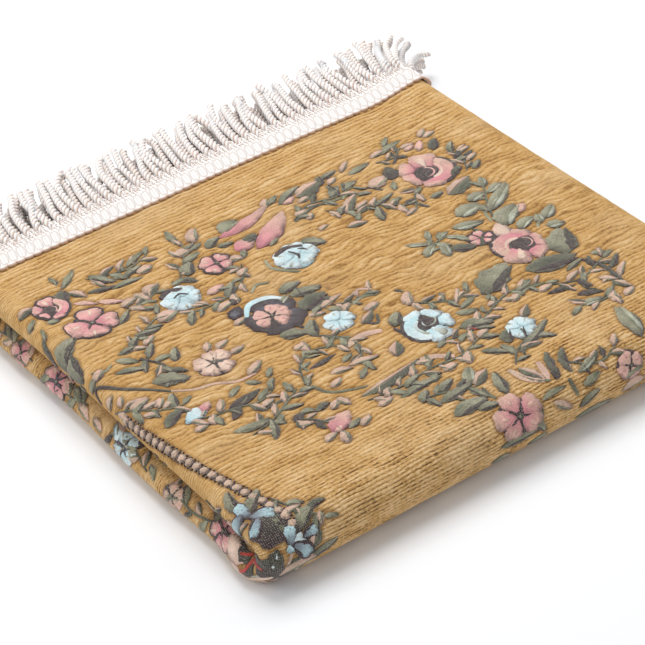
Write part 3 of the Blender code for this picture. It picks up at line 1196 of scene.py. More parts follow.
class WovenFlowers:
    """Flowers, leaves, stems and the beaded border, woven flush with the pile."""

    # The rings of a patch. Columns: share of the outline, or none for the ring that lies a rim's
    # width inside it, and height in millimetres.
    rings: tuple = ((1.0, -1.1), (1.0, 0.02), (None, 0.18), (0.5, 0.28))
    # What lies lower than this, in millimetres, is rooted in the pile and isn't lifted.
    root_mm: float = -1.0
    # How far neighbours are parted in height, and after how many patches that starts again.
    stack_step: float = 0.012
    stack_levels: int = 9
    halves_meet: float = 128.0
    # How dark the rim is on each ring, and the side on which it is darkest: part dark stitched outline,
    # part painted shade on that lower side.
    rim_strength: tuple = (1.0, 1.0, 0.8)
    rim_shade_side: Array = np.array([0.25, -0.97])
    sliver_from: float = 7.5
    leaf_growth: float = 1.22
    leaf_length: float = 1.16
    leaf_width: float = 1.06
    rim_width: float = 1.15
    edge_width: float = 0.8
    margin: float = 1.3
    serrated_from: float = 21.0

    def __init__(self, folds: FoldMap, loom: Loom, seed: int = 5) -> None:
        """Start with an empty cloth.

        Args:
            folds: Where the cloth lies.
            loom: The chart that the pile reads.
            seed: Seed of the small unevenness of outlines.
        """
        self.folds = folds
        self.loom = loom
        self.random = np.random.default_rng(seed)
        self.kits = {"flowers_fringed_half": MeshKit(), "flowers_front_half": MeshKit()}
        self.count = 0

    def kit_at(self, y: float) -> MeshKit:
        """Return the piece that a place belongs to."""
        half = "fringed" if y > self.halves_meet else "front"
        return self.kits[f"flowers_{half}_half"]

    def outline(self, shape: Shape, length: float, width: float, curl: float = 0.0) -> Array:
        """Return an uneven outline round (0, 0), its length along x.

        Args:
            shape: The kind of outline.
            length: Its length, in millimetres.
            width: Its width, in millimetres.
            curl: How far its middle bows sideways, as a share of its length.

        Returns:
            Points in order, counter-clockwise.
        """
        count = int(np.clip(1.25 * (length + width), 12, 36))
        angle = np.linspace(0, math.tau, count, endpoint=False)
        along, across = np.cos(angle), np.sin(angle)
        if shape is Shape.LEAF:
            across = across * np.abs(across) ** 0.75 * (1.0 - 0.25 * along)
        elif shape is Shape.PETAL:
            across = across * (0.88 + 0.28 * along)
            along = along - 0.08 * np.cos(2 * angle)
        elif shape is Shape.LOBED:
            across = across * (0.86 + 0.34 * along)
            along = along - 0.16 * np.exp(-(np.minimum(angle, math.tau - angle) / 0.35) ** 2)
        uneven = 1.0 + 0.04 * self.random.standard_normal(count)
        if shape is Shape.LEAF and width > 0.45 * length and length > self.serrated_from:
            uneven = uneven + 0.11 * np.cos(9.0 * angle)
        x = along * length / 2
        y = across * width / 2 * uneven + curl * length * (0.5 - along ** 2)
        return np.stack([x, y], axis=-1)

    @staticmethod
    def place(outline: Array, x: float, y: float, turn: float) -> Array:
        """Turn an outline and move it to its place.

        Args:
            outline: Points round (0, 0).
            x: Place across, in millimetres.
            y: Place along, in millimetres.
            turn: Turn in degrees, counter-clockwise.

        Returns:
            The placed points.
        """
        cos, sin = math.cos(math.radians(turn)), math.sin(math.radians(turn))
        placed = outline @ np.array([[cos, sin], [-sin, cos]]) + (x, y)
        placed[:, 0] += 0.42 * np.sin(math.tau * placed[:, 1] / 2.3)
        return placed

    def shades(self, share: Array, dress: Dress) -> Array:
        """Return colours between a dress's two yarns.

        Args:
            share: 0 for the first yarn, 1 for the second.
            dress: The dress.

        Returns:
            Rows of red, green, blue and fleck.
        """
        first = np.append(dress.first.colour, dress.fleck)
        second = np.append(dress.second.colour, dress.fleck)
        return first + (second - first) * ease(share)[:, None]

    def patch(self, outline: Array, dress: Dress, lift: float = 0.0, turn: float = 0.0) -> None:
        """Weave one closed patch.

        Args:
            outline: Its placed points, counter-clockwise.
            dress: Its yarns.
            lift: Extra height, in millimetres.
            turn: The direction of its length, in degrees.
        """
        self.count += 1
        lift = lift + self.stack_step * (self.count % self.stack_levels)
        centre = outline.mean(axis=0)
        spokes = outline - centre
        reach = np.linalg.norm(spokes, axis=1, keepdims=True)
        if dress.edge is not None:
            border = Dress(dress.edge, dress.edge, Way.ALONG, 0.5)
            grown = centre + spokes * (1.0 + self.edge_width / np.maximum(reach, 1.0))
            self.patch(grown, border, lift - 0.14, turn)
        count = len(outline)
        self.loom.mark(centre + spokes * (1.0 + self.margin / np.maximum(reach, 0.5)))
        inset = np.clip(1.0 - self.rim_width / np.maximum(reach, 0.1), 0.55, 0.93)
        flat, heights = [], []
        for share, height in self.rings:
            flat.append(centre + spokes * (inset if share is None else share))
            heights.append(np.full(count, height + (lift if height > self.root_mm else 0.0)))
        flat = np.concatenate([*flat, centre[None]])
        heights = np.append(np.concatenate(heights), self.rings[-1][1] + 0.03 + lift)
        cos, sin = math.cos(math.radians(turn)), math.sin(math.radians(turn))
        axes = (flat - centre) @ np.array([[cos, -sin], [sin, cos]])
        spans = np.abs(axes).max(axis=0) + 0.01
        if dress.way is Way.ALONG:
            share = 0.5 + 0.5 * axes[:, 0] / spans[0]
        elif dress.way is Way.ACROSS:
            share = 0.5 - 0.9 * axes[:, 1] / spans[1]
        else:
            share = np.linalg.norm(axes / spans, axis=1) ** 1.3
        faces = [[near, beside, high, low]
                 for near, low, high, beside in grid_faces(len(self.rings), count, wrap=True)]
        last = (len(self.rings) - 1) * count
        faces += [[last + index, last + (index + 1) % count, last + count] for index in range(count)]
        faces.append(list(range(count - 1, -1, -1)))
        points = self.folds.lay(flat[:, 0], flat[:, 1], heights)
        colours = self.shades(share, dress)
        # The rim: a dark stitched outline and painted shade, darkest on the lower side and fading out on
        # the far side.
        side = np.clip(0.55 + 0.95 * (unit(spokes, 0.01) @ self.rim_shade_side), 0.0, 1.0)
        for ring, strength in enumerate(self.rim_strength):
            shade = strength * side * self.random.uniform(0.35, 1.0, count)
            part = colours[ring * count:(ring + 1) * count]
            part[:, :3] += (Yarn.PLUM.colour - part[:, :3]) * shade[:, None]
        self.kit_at(centre[1]).add(points, faces, flat * MM, colours)

    def leaf(self, x: float, y: float, length: float, width: float, turn: float,
             look: Look, shape: Shape = Shape.LEAF, lift: float = 0.0) -> None:
        """Weave a leaf or petal; a twin leaf is two halves of different yarns.

        Args:
            x: Its middle across, in millimetres.
            y: Its middle along, in millimetres.
            length: Its length, in millimetres.
            width: Its width, in millimetres.
            turn: Its turn in degrees.
            look: Its yarns.
            shape: Its outline.
            lift: Extra height, in millimetres.
        """
        curl = self.random.uniform(-0.07, 0.07)
        outline = self.outline(shape, length, width, curl)
        if look is not Look.TWIN:
            self.patch(self.place(outline, x, y, turn), look.value, lift, turn)
            if shape is Shape.LEAF and length > self.sliver_from and look in SLIVERS:
                sliver = self.outline(shape, 0.86 * length, 0.36 * width, curl)
                side = -1.0 if math.cos(math.radians(turn)) > 0 else 1.0
                sliver = sliver + (0.05 * length, side * 0.24 * width)
                self.patch(self.place(sliver, x, y, turn), SLIVERS[look].value, lift + 0.12, turn)
            return
        half = len(outline) // 2
        upper = outline[:half + 1]
        lower = np.concatenate([outline[half:], outline[:1]])
        middle = np.array([[0.0, outline[:, 1].mean() + 0.06 * width]])
        for part, yarn in ((upper, Look.BLUSH), (lower, Look.MOSS)):
            shape_points = np.concatenate([part, middle])
            self.patch(self.place(shape_points, x, y, turn), yarn.value, lift, turn)

    def flower(self, flower: Flower) -> None:
        """Weave a flower: lobed petals, pale streaks, and a dark star with a small heart.

        Args:
            flower: The flower.
        """
        plain = flower.heart is flower.look
        x, y, radius, lift = flower.x, flower.y, flower.radius, flower.lift
        self.leaf(x - 0.08 * radius, y - 0.1 * radius, 1.72 * radius, 1.55 * radius,
                  flower.turn, flower.heart, Shape.OVAL, lift - 0.1)
        full_width = (1.9 if plain else 1.66) * radius * math.sin(math.pi / flower.petals)
        for index in range(flower.petals):
            turn = flower.turn + 360.0 * index / flower.petals + self.random.uniform(-12, 12)
            reach = 0.56 * radius * self.random.uniform(0.9, 1.12)
            length = 1.04 * radius * self.random.uniform(0.86, 1.1)
            width = full_width * self.random.uniform(0.84, 1.08)
            self.leaf(*polar(x, y, reach, turn, flower.squash), length, width, turn,
                      flower.look, Shape.LOBED, lift + 0.04)
            streak = turn + self.random.uniform(-14, 14)
            self.leaf(*polar(x, y, 0.66 * radius, streak), 0.55 * radius, 0.24 * radius, streak,
                      STREAKS[flower.look], Shape.OVAL if plain else Shape.LEAF, lift + 0.14)
            if not plain:
                between = turn + 180.0 / flower.petals
                self.leaf(*polar(x, y, 0.3 * radius, between), 0.46 * radius, 0.15 * radius,
                          between, flower.heart, Shape.LEAF, lift + 0.18)
        if plain:
            return
        self.leaf(x, y, 0.4 * radius, 0.34 * radius, flower.turn, flower.heart, Shape.OVAL, lift + 0.2)
        self.leaf(x, y, 0.2 * radius, 0.18 * radius, flower.turn, Look.SAGE, Shape.OVAL, lift + 0.32)

    def rose(self, x: float, y: float, radius: float, turn: float, look: Look) -> None:
        """Weave a full rose: cupped petals round a dark, speckled coil.

        Args:
            x: Its middle across, in millimetres.
            y: Its middle along, in millimetres.
            radius: Its reach, in millimetres.
            turn: Where its largest petal points, in degrees.
            look: The yarns of its petals.
        """
        def spot(angle: float, distance: float) -> Point:
            """Return a place at an angle in degrees and a share of the reach."""
            return polar(x, y, distance * radius, turn + angle)

        accent = Look.LIGHT if look is Look.SKY else Look.CREAM
        # Columns: turn, distance, length, width, as shares of the reach.
        lobes = ((150, 0.62, 0.6, 0.86), (98, 0.66, 0.62, 0.82), (208, 0.66, 0.62, 0.8),
                 (300, 0.5, 0.8, 0.8), (28, 0.5, 1.0, 1.0))
        for angle, distance, length, width in lobes:
            self.leaf(*spot(angle, distance), length * radius, width * radius, turn + angle,
                      look, Shape.LOBED, 0.05)
        self.leaf(*spot(165, 0.2), 0.92 * radius, 0.74 * radius, turn, Look.PLUM, Shape.OVAL, 0.12)
        self.leaf(*spot(38, 0.5), 0.72 * radius, 0.42 * radius, turn + 38, accent, Shape.PETAL, 0.16)
        cup = [spot(angle, 0.62) for angle in (200, 240, 285, 325, 355)]
        self.stem(cup, 0.66 * radius, Look.PLUM, 0.16)
        self.stem(cup, 0.5 * radius, look, 0.24)
        rim = [spot(angle, 0.42) for angle in (215, 250, 290, 330, 350)]
        self.stem(rim, 0.16 * radius, accent, 0.3)
        shade = [spot(angle, 0.28) for angle in (250, 290, 330)]
        self.stem(shade, 0.14 * radius, Look.DARK, 0.34)
        heart = spot(165, 0.2)
        coil = [(heart[0] + share * radius * math.cos(angle),
                 heart[1] + 0.85 * share * radius * math.sin(angle))
                for angle, share in zip(np.linspace(0.9, 7.4, 10), np.linspace(0.1, 0.36, 10))]
        self.stem(coil, 0.12 * radius, Look.LIGHT if look is Look.SKY else Look.BUD, 0.3)

    def sprig(self, route: list[Point], looks: tuple, size: float) -> None:
        """Weave a thin stalk with leaves on alternate sides.

        Args:
            route: Points the stalk passes, in millimetres.
            looks: The leaves' yarns, in turn.
            size: How long a leaf is before growth, in millimetres.
        """
        size = self.leaf_growth * size
        self.stem(route, 1.5, Look.MOSS)
        line = Line(route)
        for index, place in enumerate(np.arange(3.0, line.length + 1.0, 0.52 * size)):
            side = 1.0 if index % 2 else -1.0
            turn = line.heading(place - 2.0, place) + side * self.random.uniform(32, 62)
            length = size * self.random.uniform(0.75, 1.2)
            width = length * self.random.uniform(0.34, 0.46)
            self.leaf(*polar(*line.at(place), 0.55 * length, turn), length, width, turn,
                      looks[index % len(looks)])

    def stem(self, route: list[Point], width: float, look: Look, lift: float = 0.0) -> None:
        """Weave a narrow strip along a route.

        Args:
            route: Points it passes, in millimetres.
            width: Its width, in millimetres.
            look: Its yarns.
            lift: Extra height, in millimetres.
        """
        knots = np.array(route, float)
        if len(knots) == 2:
            knots = np.array([knots[0], knots.mean(axis=0) + (0.4, 0.7), knots[1]])
        ends = np.concatenate([2 * knots[:1] - knots[1:2], knots, 2 * knots[-1:] - knots[-2:-1]])
        line = []
        for index in range(len(knots) - 1):
            a, b, c, d = ends[index:index + 4]
            steps = max(2, int(np.linalg.norm(c - b) / 2.6))
            for share in np.arange(steps) / steps:
                line.append(0.5 * (2 * b + (c - a) * share
                                   + (2 * a - 5 * b + 4 * c - d) * share ** 2
                                   + (3 * b - a - 3 * c + d) * share ** 3))
        line = np.array(line + [knots[-1]])
        towards = unit(np.gradient(line, axis=0), 1e-9)
        aside = np.stack([-towards[:, 1], towards[:, 0]], axis=-1)
        taper = 0.35 + 0.65 * np.sin(np.linspace(0.15, math.pi - 0.15, len(line))) ** 0.5
        # Columns: share of the width, height in millimetres.
        sides = ((-0.5, -1.1), (-0.5, -0.1), (-0.2, 0.15), (0.2, 0.15), (0.5, -0.1), (0.5, -1.1))
        rings = []
        for offset, height in sides:
            place = line + aside * (offset * width * taper)[:, None]
            shift = height + (lift if height > self.root_mm else 0.0)
            rings.append(np.column_stack([place, np.full(len(line), shift)]))
        stack = np.stack(rings, axis=1)
        count, ring = stack.shape[:2]
        stack = stack.reshape(-1, 3)
        faces = [face[::-1] for face in grid_faces(count, ring, wrap=True)]
        faces.append(list(range(ring)))
        faces.append([(count - 1) * ring + column for column in range(ring - 1, -1, -1)])
        wider = aside * (0.5 * width * taper + 1.1)[:, None]
        self.loom.mark(np.concatenate([line - wider, (line + wider)[::-1]]))
        share = np.repeat(np.linspace(0, 1, count), ring)
        points = self.folds.lay(stack[:, 0], stack[:, 1], stack[:, 2])
        self.kit_at(float(line[0, 1])).add(points, faces, stack[:, :2] * MM,
                                           self.shades(share, look.value))

    def beaded_border(self, route: list[Point], pitch: float = 5.8) -> None:
        """Weave a band of pale beads on a dark strip with small dark ticks down both sides.

        Args:
            route: Points it passes, in millimetres.
            pitch: From one bead to the next, in millimetres.
        """
        bead, tick_length, tick_width, tick_reach, tick_share = 5.2, 1.5, 1.1, 2.9, 0.28
        self.stem(route, 4.2, Look.PLUM, -0.05)
        line = Line(route)
        for place in np.arange(pitch / 2, line.length, pitch):
            x, y = line.at(place)
            turn = line.heading(place, place + 1)
            self.leaf(x, y, bead, bead, turn, Look.BEAD, Shape.OVAL, 0.14)
            for side in (-1, 1):
                edge = polar(x, y, side * tick_reach, turn + 90)
                for step in (-tick_share, tick_share):
                    self.leaf(*polar(*edge, step * pitch, turn + 180), tick_length, tick_width,
                              turn, Look.PLUM, Shape.OVAL, 0.1)

    def build(self, material: Material) -> list[Piece]:
        """Make the pieces of all that was woven."""
        return [kit.make(name, material, crease=60.0) for name, kit in self.kits.items()]


# The wreath, in cloth places. Columns of each leaf: x, y, length, width, turn.
LEAVES: dict[Look, Rows] = {
    Look.SAGE: (
        (-137.5, 273, 9, 3.4, 90), (-130, 269, 18, 4.6, 40), (-170, 245, 8, 4.5, 30),
        (-158, 238, 7, 4.5, -20), (-169, 232, 9, 3, 70), (-99, 259, 8, 3.8, 85),
        (-88, 261, 16, 4.6, 25), (-59, 265, 14, 4.6, 88), (-53, 247, 9, 4, 20),
        (-80, 224, 10, 4.2, 10), (-26, 252, 14, 11, 20), (11, 257, 9, 4.4, 35),
        (72, 250, 16, 5.4, 10), (56, 239, 12, 6, 15), (77, 220, 9, 4, 60), (-14, 220, 8, 4, 30),
        (40, 207, 8, 4, 60), (102, 257, 18, 5, 15), (103, 264, 10, 4, 45), (-172, 176, 8, 5, 25),
        (-145, 178, 12, 5.2, -40), (-114, 116, 10, 4.2, 30), (-101, 116, 8, 4, -40),
        (-89, 118, 8, 4, 50), (-123, 85, 20, 6, -5), (-108, 80, 8, 4, 50), (-60, 117, 10, 3.2, -35),
        (-48, 117, 8, 3.8, 45), (-77, 98, 9, 4.2, 60), (-49, 83, 10, 4, 40), (-92, 76, 8, 4.4, -25),
        (-79, 51, 9, 4.2, 20), (-21, 55, 9, 5, 60), (13, 72, 8, 4, 30), (0, 75, 7, 4, 20),
        (17, 106, 8, 3.4, 70), (27, 109, 8, 3.2, 70), (36, 96, 14, 4.2, 20), (30, 89, 12, 5, -20),
        (85, 206, 8, 4, 30), (126, 85, 9, 4, -30), (129, 81, 8, 4, 20), (103, 72, 9, 4, 60),
        (48, 92, 6, 3, 40), (71, 88, 12, 5.6, 20), (86, 80, 7, 3.4, -20), (50, 2, 12, 5, 15),
        (24, 5, 15, 3.4, 5), (-137, 4, 9, 4.4, 35), (-190, -132, 9, 4, 60), (-190, -216, 12, 5, 70),
        (-48, 100, 8, 4, 25), (78, -6, 12, 5, 10), (-35, 222, 8, 4, 70),
    ),
    Look.PALE: (
        (121, 188, 10, 6, 65), (124, 179, 10, 6, 15), (108, 178, 12, 8, 10),
        (118, 169, 30, 9.5, 33), (95, 170, 17, 12, 10), (85, 157, 18, 8, -15),
        (110, 150, 22, 14, 35), (113, 137, 14, 8, 20), (131, 137, 14, 8, 35), (122, 135, 9, 6, 70),
        (126, 124, 10, 8, -20), (95, 24, 26, 10, 80), (91, 51, 10, 6, -10), (49, 159, 14, 4, -35),
        (59, 163, 10, 4, 65), (66, 158, 9, 4, 15), (50, 150, 12, 6, 35), (58, 145, 14, 6.5, 75),
        (74, 148, 11, 5, -60), (-191, -158, 18, 7, 75), (-45, 168, 10, 7, 30), (-6, 43, 14, 8, 60),
        (53, 11, 16, 5, 20),
    ),
    Look.LEAF: (
        (-114, 256, 16, 7, -55), (-96, 251, 14, 4.6, 15), (-104, 243, 18, 4.6, -5),
        (-124, 215, 12, 5, 40), (-108, 213, 9, 4.4, -30), (-121, 194, 15, 4.6, -10),
        (-133, 191, 10, 5, 40), (-139, 187, 12, 5, 10), (-43, 244, 12, 7, 30),
        (-38, 237, 9, 5, -10), (-69, 231, 12, 9, 55), (-94, 189, 14, 5, 55), (-62, 197, 14, 7, 50),
        (-48, 214, 8, 4, -40), (21, 255, 20, 6, 25), (53, 257, 12, 5, 10), (37, 220, 10, 5, 40),
        (58, 225, 8, 4.4, -20), (52, 201, 14, 6, 70), (63, 212, 16, 4.4, 15), (4, 204, 14, 8, -45),
        (131, 232, 12, 5, 55), (128, 217, 9, 5, 0), (131, 206, 10, 5, 35), (91, 195, 9, 5, 10),
        (-148, 169, 17, 5, -20), (-130, 178, 13, 5, 50), (-121, 166, 12, 6, 60),
        (-132, 157, 8, 5, -60), (-135, 148, 19, 11, -25), (-34, 176, 14, 8, 10),
        (-29, 167, 18, 8, -10), (-63, 151, 9, 5, -20), (-164, 137, 10, 5, 30),
        (-145, 131, 12, 6, 70), (-116, 75, 16, 5, 65), (-58, 138, 14, 9, -25),
        (-47, 135, 14, 8, 65), (-33, 60, 12, 5, 20), (-32, 53, 26, 5.4, 3), (-36, 45, 10, 6, 45),
        (-21, 45, 12, 6, 25), (-21, 36, 21, 7, 8), (-22, 22, 21, 10, 5), (-14, 16, 12, 6, -10),
        (3, 27, 18, 7, 75), (-5, -10, 24, 5.4, 0), (10, -10, 10, 4.6, -50), (45, 48, 30, 6, 25),
        (20, 50, 16, 5, -40), (27, 77, 18, 9, -20), (-6, 110, 12, 8, 50), (62, 104, 30, 17, 28),
        (117, 108, 24, 18, 60), (45, -8, 14, 5, 20), (50, -20, 24, 8, 0), (-17, -20, 12, 6, 0),
        (9, -20, 13, 5, 15), (-138, -13, 16, 6, 15), (-157, 14, 16, 7, 88), (-168, 210, 22, 12, 40),
        (-172, 196, 22, 11, 75), (-168, 42, 13, 7, 75), (-159, 34, 18, 7, 40),
        (-195, -290, 14, 6, 60), (-143, 9, 14, 8, 35), (-82, 92, 8, 5, -10), (107, 85, 14, 4, 15),
    ),
    Look.MOSS: (
        (-142, 256, 12, 9, 60), (-119, 247, 16, 4.4, -15), (-74, 221, 9, 4.4, -60),
        (45, 255, 9, 6, 70), (45, 240, 13, 5.4, 88), (125, 242, 12, 7, 50), (116, 209, 12, 7, 20),
        (-32, 156, 20, 12, 15), (-68, 157, 9, 7, 40), (-153, 118, 17, 7, 30), (-84, 74, 9, 5, 15),
        (68, 140, 14, 8, -30), (33, 57, 11, 8, 60), (98, 95, 30, 14, -10), (-24, 232, 12, 8, 20),
        (36, 24, 16, 5, 66), (44, 21, 18, 5, 62), (127, 73, 14, 4.4, 35),
    ),
    Look.DARK: (
        (-66, 186, 8, 6, 0), (84, 233, 13, 10, 70), (130, 223, 10, 5, 30), (-113, 107, 20, 6, 8),
        (-123, 100, 12, 5, 40), (-60, 106, 18, 3.4, 5), (-99, 75, 9, 5, 20), (96, 58, 14, 5, -25),
        (85, 71, 16, 4, -10), (-163, 14, 24, 20, 60), (33, 15, 9, 5, 60), (-172, -12, 24, 15, 60),
        (-182, -6, 16, 8, 80), (-182, -34, 18, 9, 110), (-160, -24, 18, 7, 20),
        (-192, -44, 16, 8, 70), (-150, 6, 10, 7, 30), (-176, 222, 18, 5, 60),
    ),
    Look.BLUSH: (
        (-89, 248, 10, 7.5, 10), (-114, 226, 11, 6, 15), (-105, 225, 11, 6, -65),
        (-104, 200, 13, 10, 20), (-125, 187, 9, 5.4, 30), (-48, 258, 14, 8, 60),
        (-62, 247, 10, 8, 0), (-73, 186, 12, 6, 20), (-85, 197, 10, 3.6, -30), (-46, 207, 8, 6, 30),
        (-41, 221, 8, 6, -30), (5, 257, 9, 6, 60), (26, 245, 9, 5, 20), (51, 250, 8, 5, 30),
        (66, 258, 12, 4, 40), (72, 230, 14, 10, 20), (16, 234, 8, 6, 10), (18, 227, 7, 5, 50),
        (91, 256, 11, 5, 10), (127, 257, 9, 5, 40), (130, 253, 9, 5, 10), (135, 225, 10, 5, 10),
        (134, 215, 9, 5, 20), (-165, 178, 9, 6, 40), (-103, 160, 8, 5, 60), (-95, 157, 9, 5, 20),
        (-161, 141, 12, 8, 15), (-152, 134, 8, 6, 50), (-161, 128, 8, 5, -20),
        (-146, 101, 8, 5, 10), (-137, 103, 8, 5, 60), (-93, 127, 13, 6, 30), (-105, 96, 8, 5, 15),
        (-24, 149, 16, 4.6, 10), (-37, 144, 9, 5, -20), (-75, 168, 8, 5, 20), (-62, 126, 8, 5, 10),
        (-42, 92, 16, 5, -12), (-57, 93, 12, 5, -15), (-66, 86, 9, 5, 25), (-21, 138, 9, 5, 30),
        (-9, 129, 10, 6, 10), (11, 121, 12, 7, 60), (34, 104, 14, 3.4, 50), (24, 68, 9, 5, 20),
        (-100, 68, 9, 5, -20), (-96, 50, 9, 5, 20), (-90, 45, 10, 6, 75), (-73, 49, 9, 5, 30),
        (-72, 70, 9, 5, -70), (-78, 71, 8, 5, 40), (-55, 55, 10, 5, 10), (-49, 61, 9, 5, 60),
        (-9, 56, 9, 6, 10), (4, 56, 10, 6, 60), (60, 82, 9, 5, 30), (46, 86, 7, 4, 10),
        (59, 90, 7, 4, 50), (79, 78, 9, 5, 10), (114, 45, 9, 5, 20), (104, 48, 8, 5, 50),
        (78, -15, 14, 9, 10), (-154, -16, 24, 8, 4), (-147, 16, 12, 3.8, 5), (-136, 4, 7, 4, 70),
        (27, -4, 12, 5, -35), (-185, -204, 12, 6, 75), (-186, -189, 10, 5, 80),
        (-17, 69, 10, 4, -20), (113, 62, 10, 4.4, -45), (125, 64, 14, 4.4, 40),
        (-91, 147, 9, 5, 10), (17, 212, 7, 4, 20), (-173, 157, 8, 5, 20), (-168, 150, 7, 4.6, 60),
    ),
    Look.PEACH: (
        (-134, 241, 13, 4, -40), (-121, 233, 15, 4.4, -35), (-68, 203, 12, 6, 10),
        (18, 250, 9, 6, 10), (111, 249, 9, 5, 30), (117, 246, 11, 5, 50), (-88, 53, 8, 5, 20),
        (121, 151, 9, 7, 30),
    ),
    Look.TWIN: (
        (-133, 252, 12, 6, -60), (-166, 257, 11, 7, 10), (-97, 228, 12, 9, 20),
        (35, 252, 20, 12, 15), (45, 222, 20, 7, 40), (108, 194, 21, 12, 22), (-40, 69, 40, 7, 8),
        (22, 22, 16, 6, -70), (55, 68, 12, 5.6, 40), (-22, 88, 12, 8, 55), (-17, 122, 12, 6, 30),
        (-2, 38, 14, 8, 30), (-185, -274, 16, 7, 80), (-142, -4, 11, 8, 60),
        (35, 201, 12, 5.6, -15), (47, 212, 9, 5, 20), (56, 213, 8, 5, 60), (66, 205, 9, 5, 30),
    ),
    Look.SKY: (
        (-143, 112, 14, 10, 20), (-154, -2, 12, 9, 20), (-192, -172, 11, 7, 70),
    ),
    Look.ROSE: (
        (-15, 249, 40, 9, 14), (-8, 231, 36, 13, 34), (-29, 229, 14, 11, 10), (-84, 57, 18, 11, 30),
        (-134, 115, 9, 6, 30), (-156, -34, 16, 6, 10),
    ),
    Look.RED: (
        (-152, 256, 5, 3.4, 20), (22, 75, 7, 1.8, -50),
    ),
    Look.CREAM: (
        (-190, -52, 20, 12, 80), (97, 139, 15, 11, 80), (-180, -46, 14, 8, 60),
    ),
    Look.SLATE: (
        (-72, 176, 10, 7, 40),
    ),
    Look.DUSK: (
        (-175, 30, 13, 8, 170), (-167, 31, 12, 7, 95), (-160, 22, 13, 9, -20),
        (-169, 17, 12, 8, 215), (-151, -7, 13, 9, -50), (-155, 3, 11, 7, 70), (-144, 0, 9, 6, 10),
    ),
}

# Flowers, in cloth places. Columns: x, y, radius, petals, turn, petals' look, heart's look, and
# for some a lift and a squash. Where both looks are the same, the flower has no dark star.
FLOWERS: tuple[Flower, ...] = (
    Flower(-141.5, 222, 15, 4, 80, Look.BUD, Look.PLUM),
    Flower(-53, 224, 10.5, 4, 50, Look.BUD, Look.PLUM),
    Flower(-108, 145, 12.5, 5, 90, Look.CREAM, Look.DARK),
    Flower(-56, 160, 17.5, 5, 30, Look.SLATE, Look.PLUM),
    Flower(-58, 159, 11.5, 5, 66, Look.PEACH, Look.PLUM, 0.4),
    Flower(-31, 130, 9.5, 4, 10, Look.SKY, Look.SKY),
    Flower(44, 58, 9.5, 4, 30, Look.SKY, Look.SKY),
    Flower(-88, 209, 12.5, 5, 40, Look.SKY, Look.SKY),
    Flower(-12, 199, 14, 5, 75, Look.SKY, Look.SKY, 0.0, 0.7),
    Flower(-2, 2, 15.5, 5, 90, Look.ROSE, Look.PLUM),
    Flower(82, 141, 8.5, 5, 0, Look.BUD, Look.MOSS),
    Flower(77, -2, 9, 4, 20, Look.PEACH, Look.PLUM),
    Flower(-186, -110, 9, 5, 0, Look.BLUSH, Look.DARK),
    Flower(-192, -322, 9, 5, 20, Look.CREAM, Look.DARK),
    Flower(-189, -66, 11, 5, 70, Look.BUD, Look.PLUM),
    Flower(-188, -160, 11, 5, 10, Look.SKY, Look.SLATE),
    Flower(-187, -236, 13, 5, 40, Look.BUD, Look.SLATE),
    Flower(-188, -274, 10, 4, 0, Look.ROSE, Look.PLUM),
    Flower(186, -96, 11, 5, 20, Look.BLUSH, Look.DARK),
    Flower(188, -188, 12, 5, 60, Look.SKY, Look.SLATE),
    Flower(187, -280, 11, 5, 0, Look.ROSE, Look.PLUM),
)

# Full roses. Columns: x, y, reach, turn of the largest petal, petals' look.
ROSES: tuple = (
    (104, 220, 20.0, 40, Look.ROSE),
    (-152, 250, 12.5, 60, Look.BUD),
    (94, 120, 19.0, 200, Look.ROSE),
    (4, 93, 17.0, 250, Look.SKY),
)

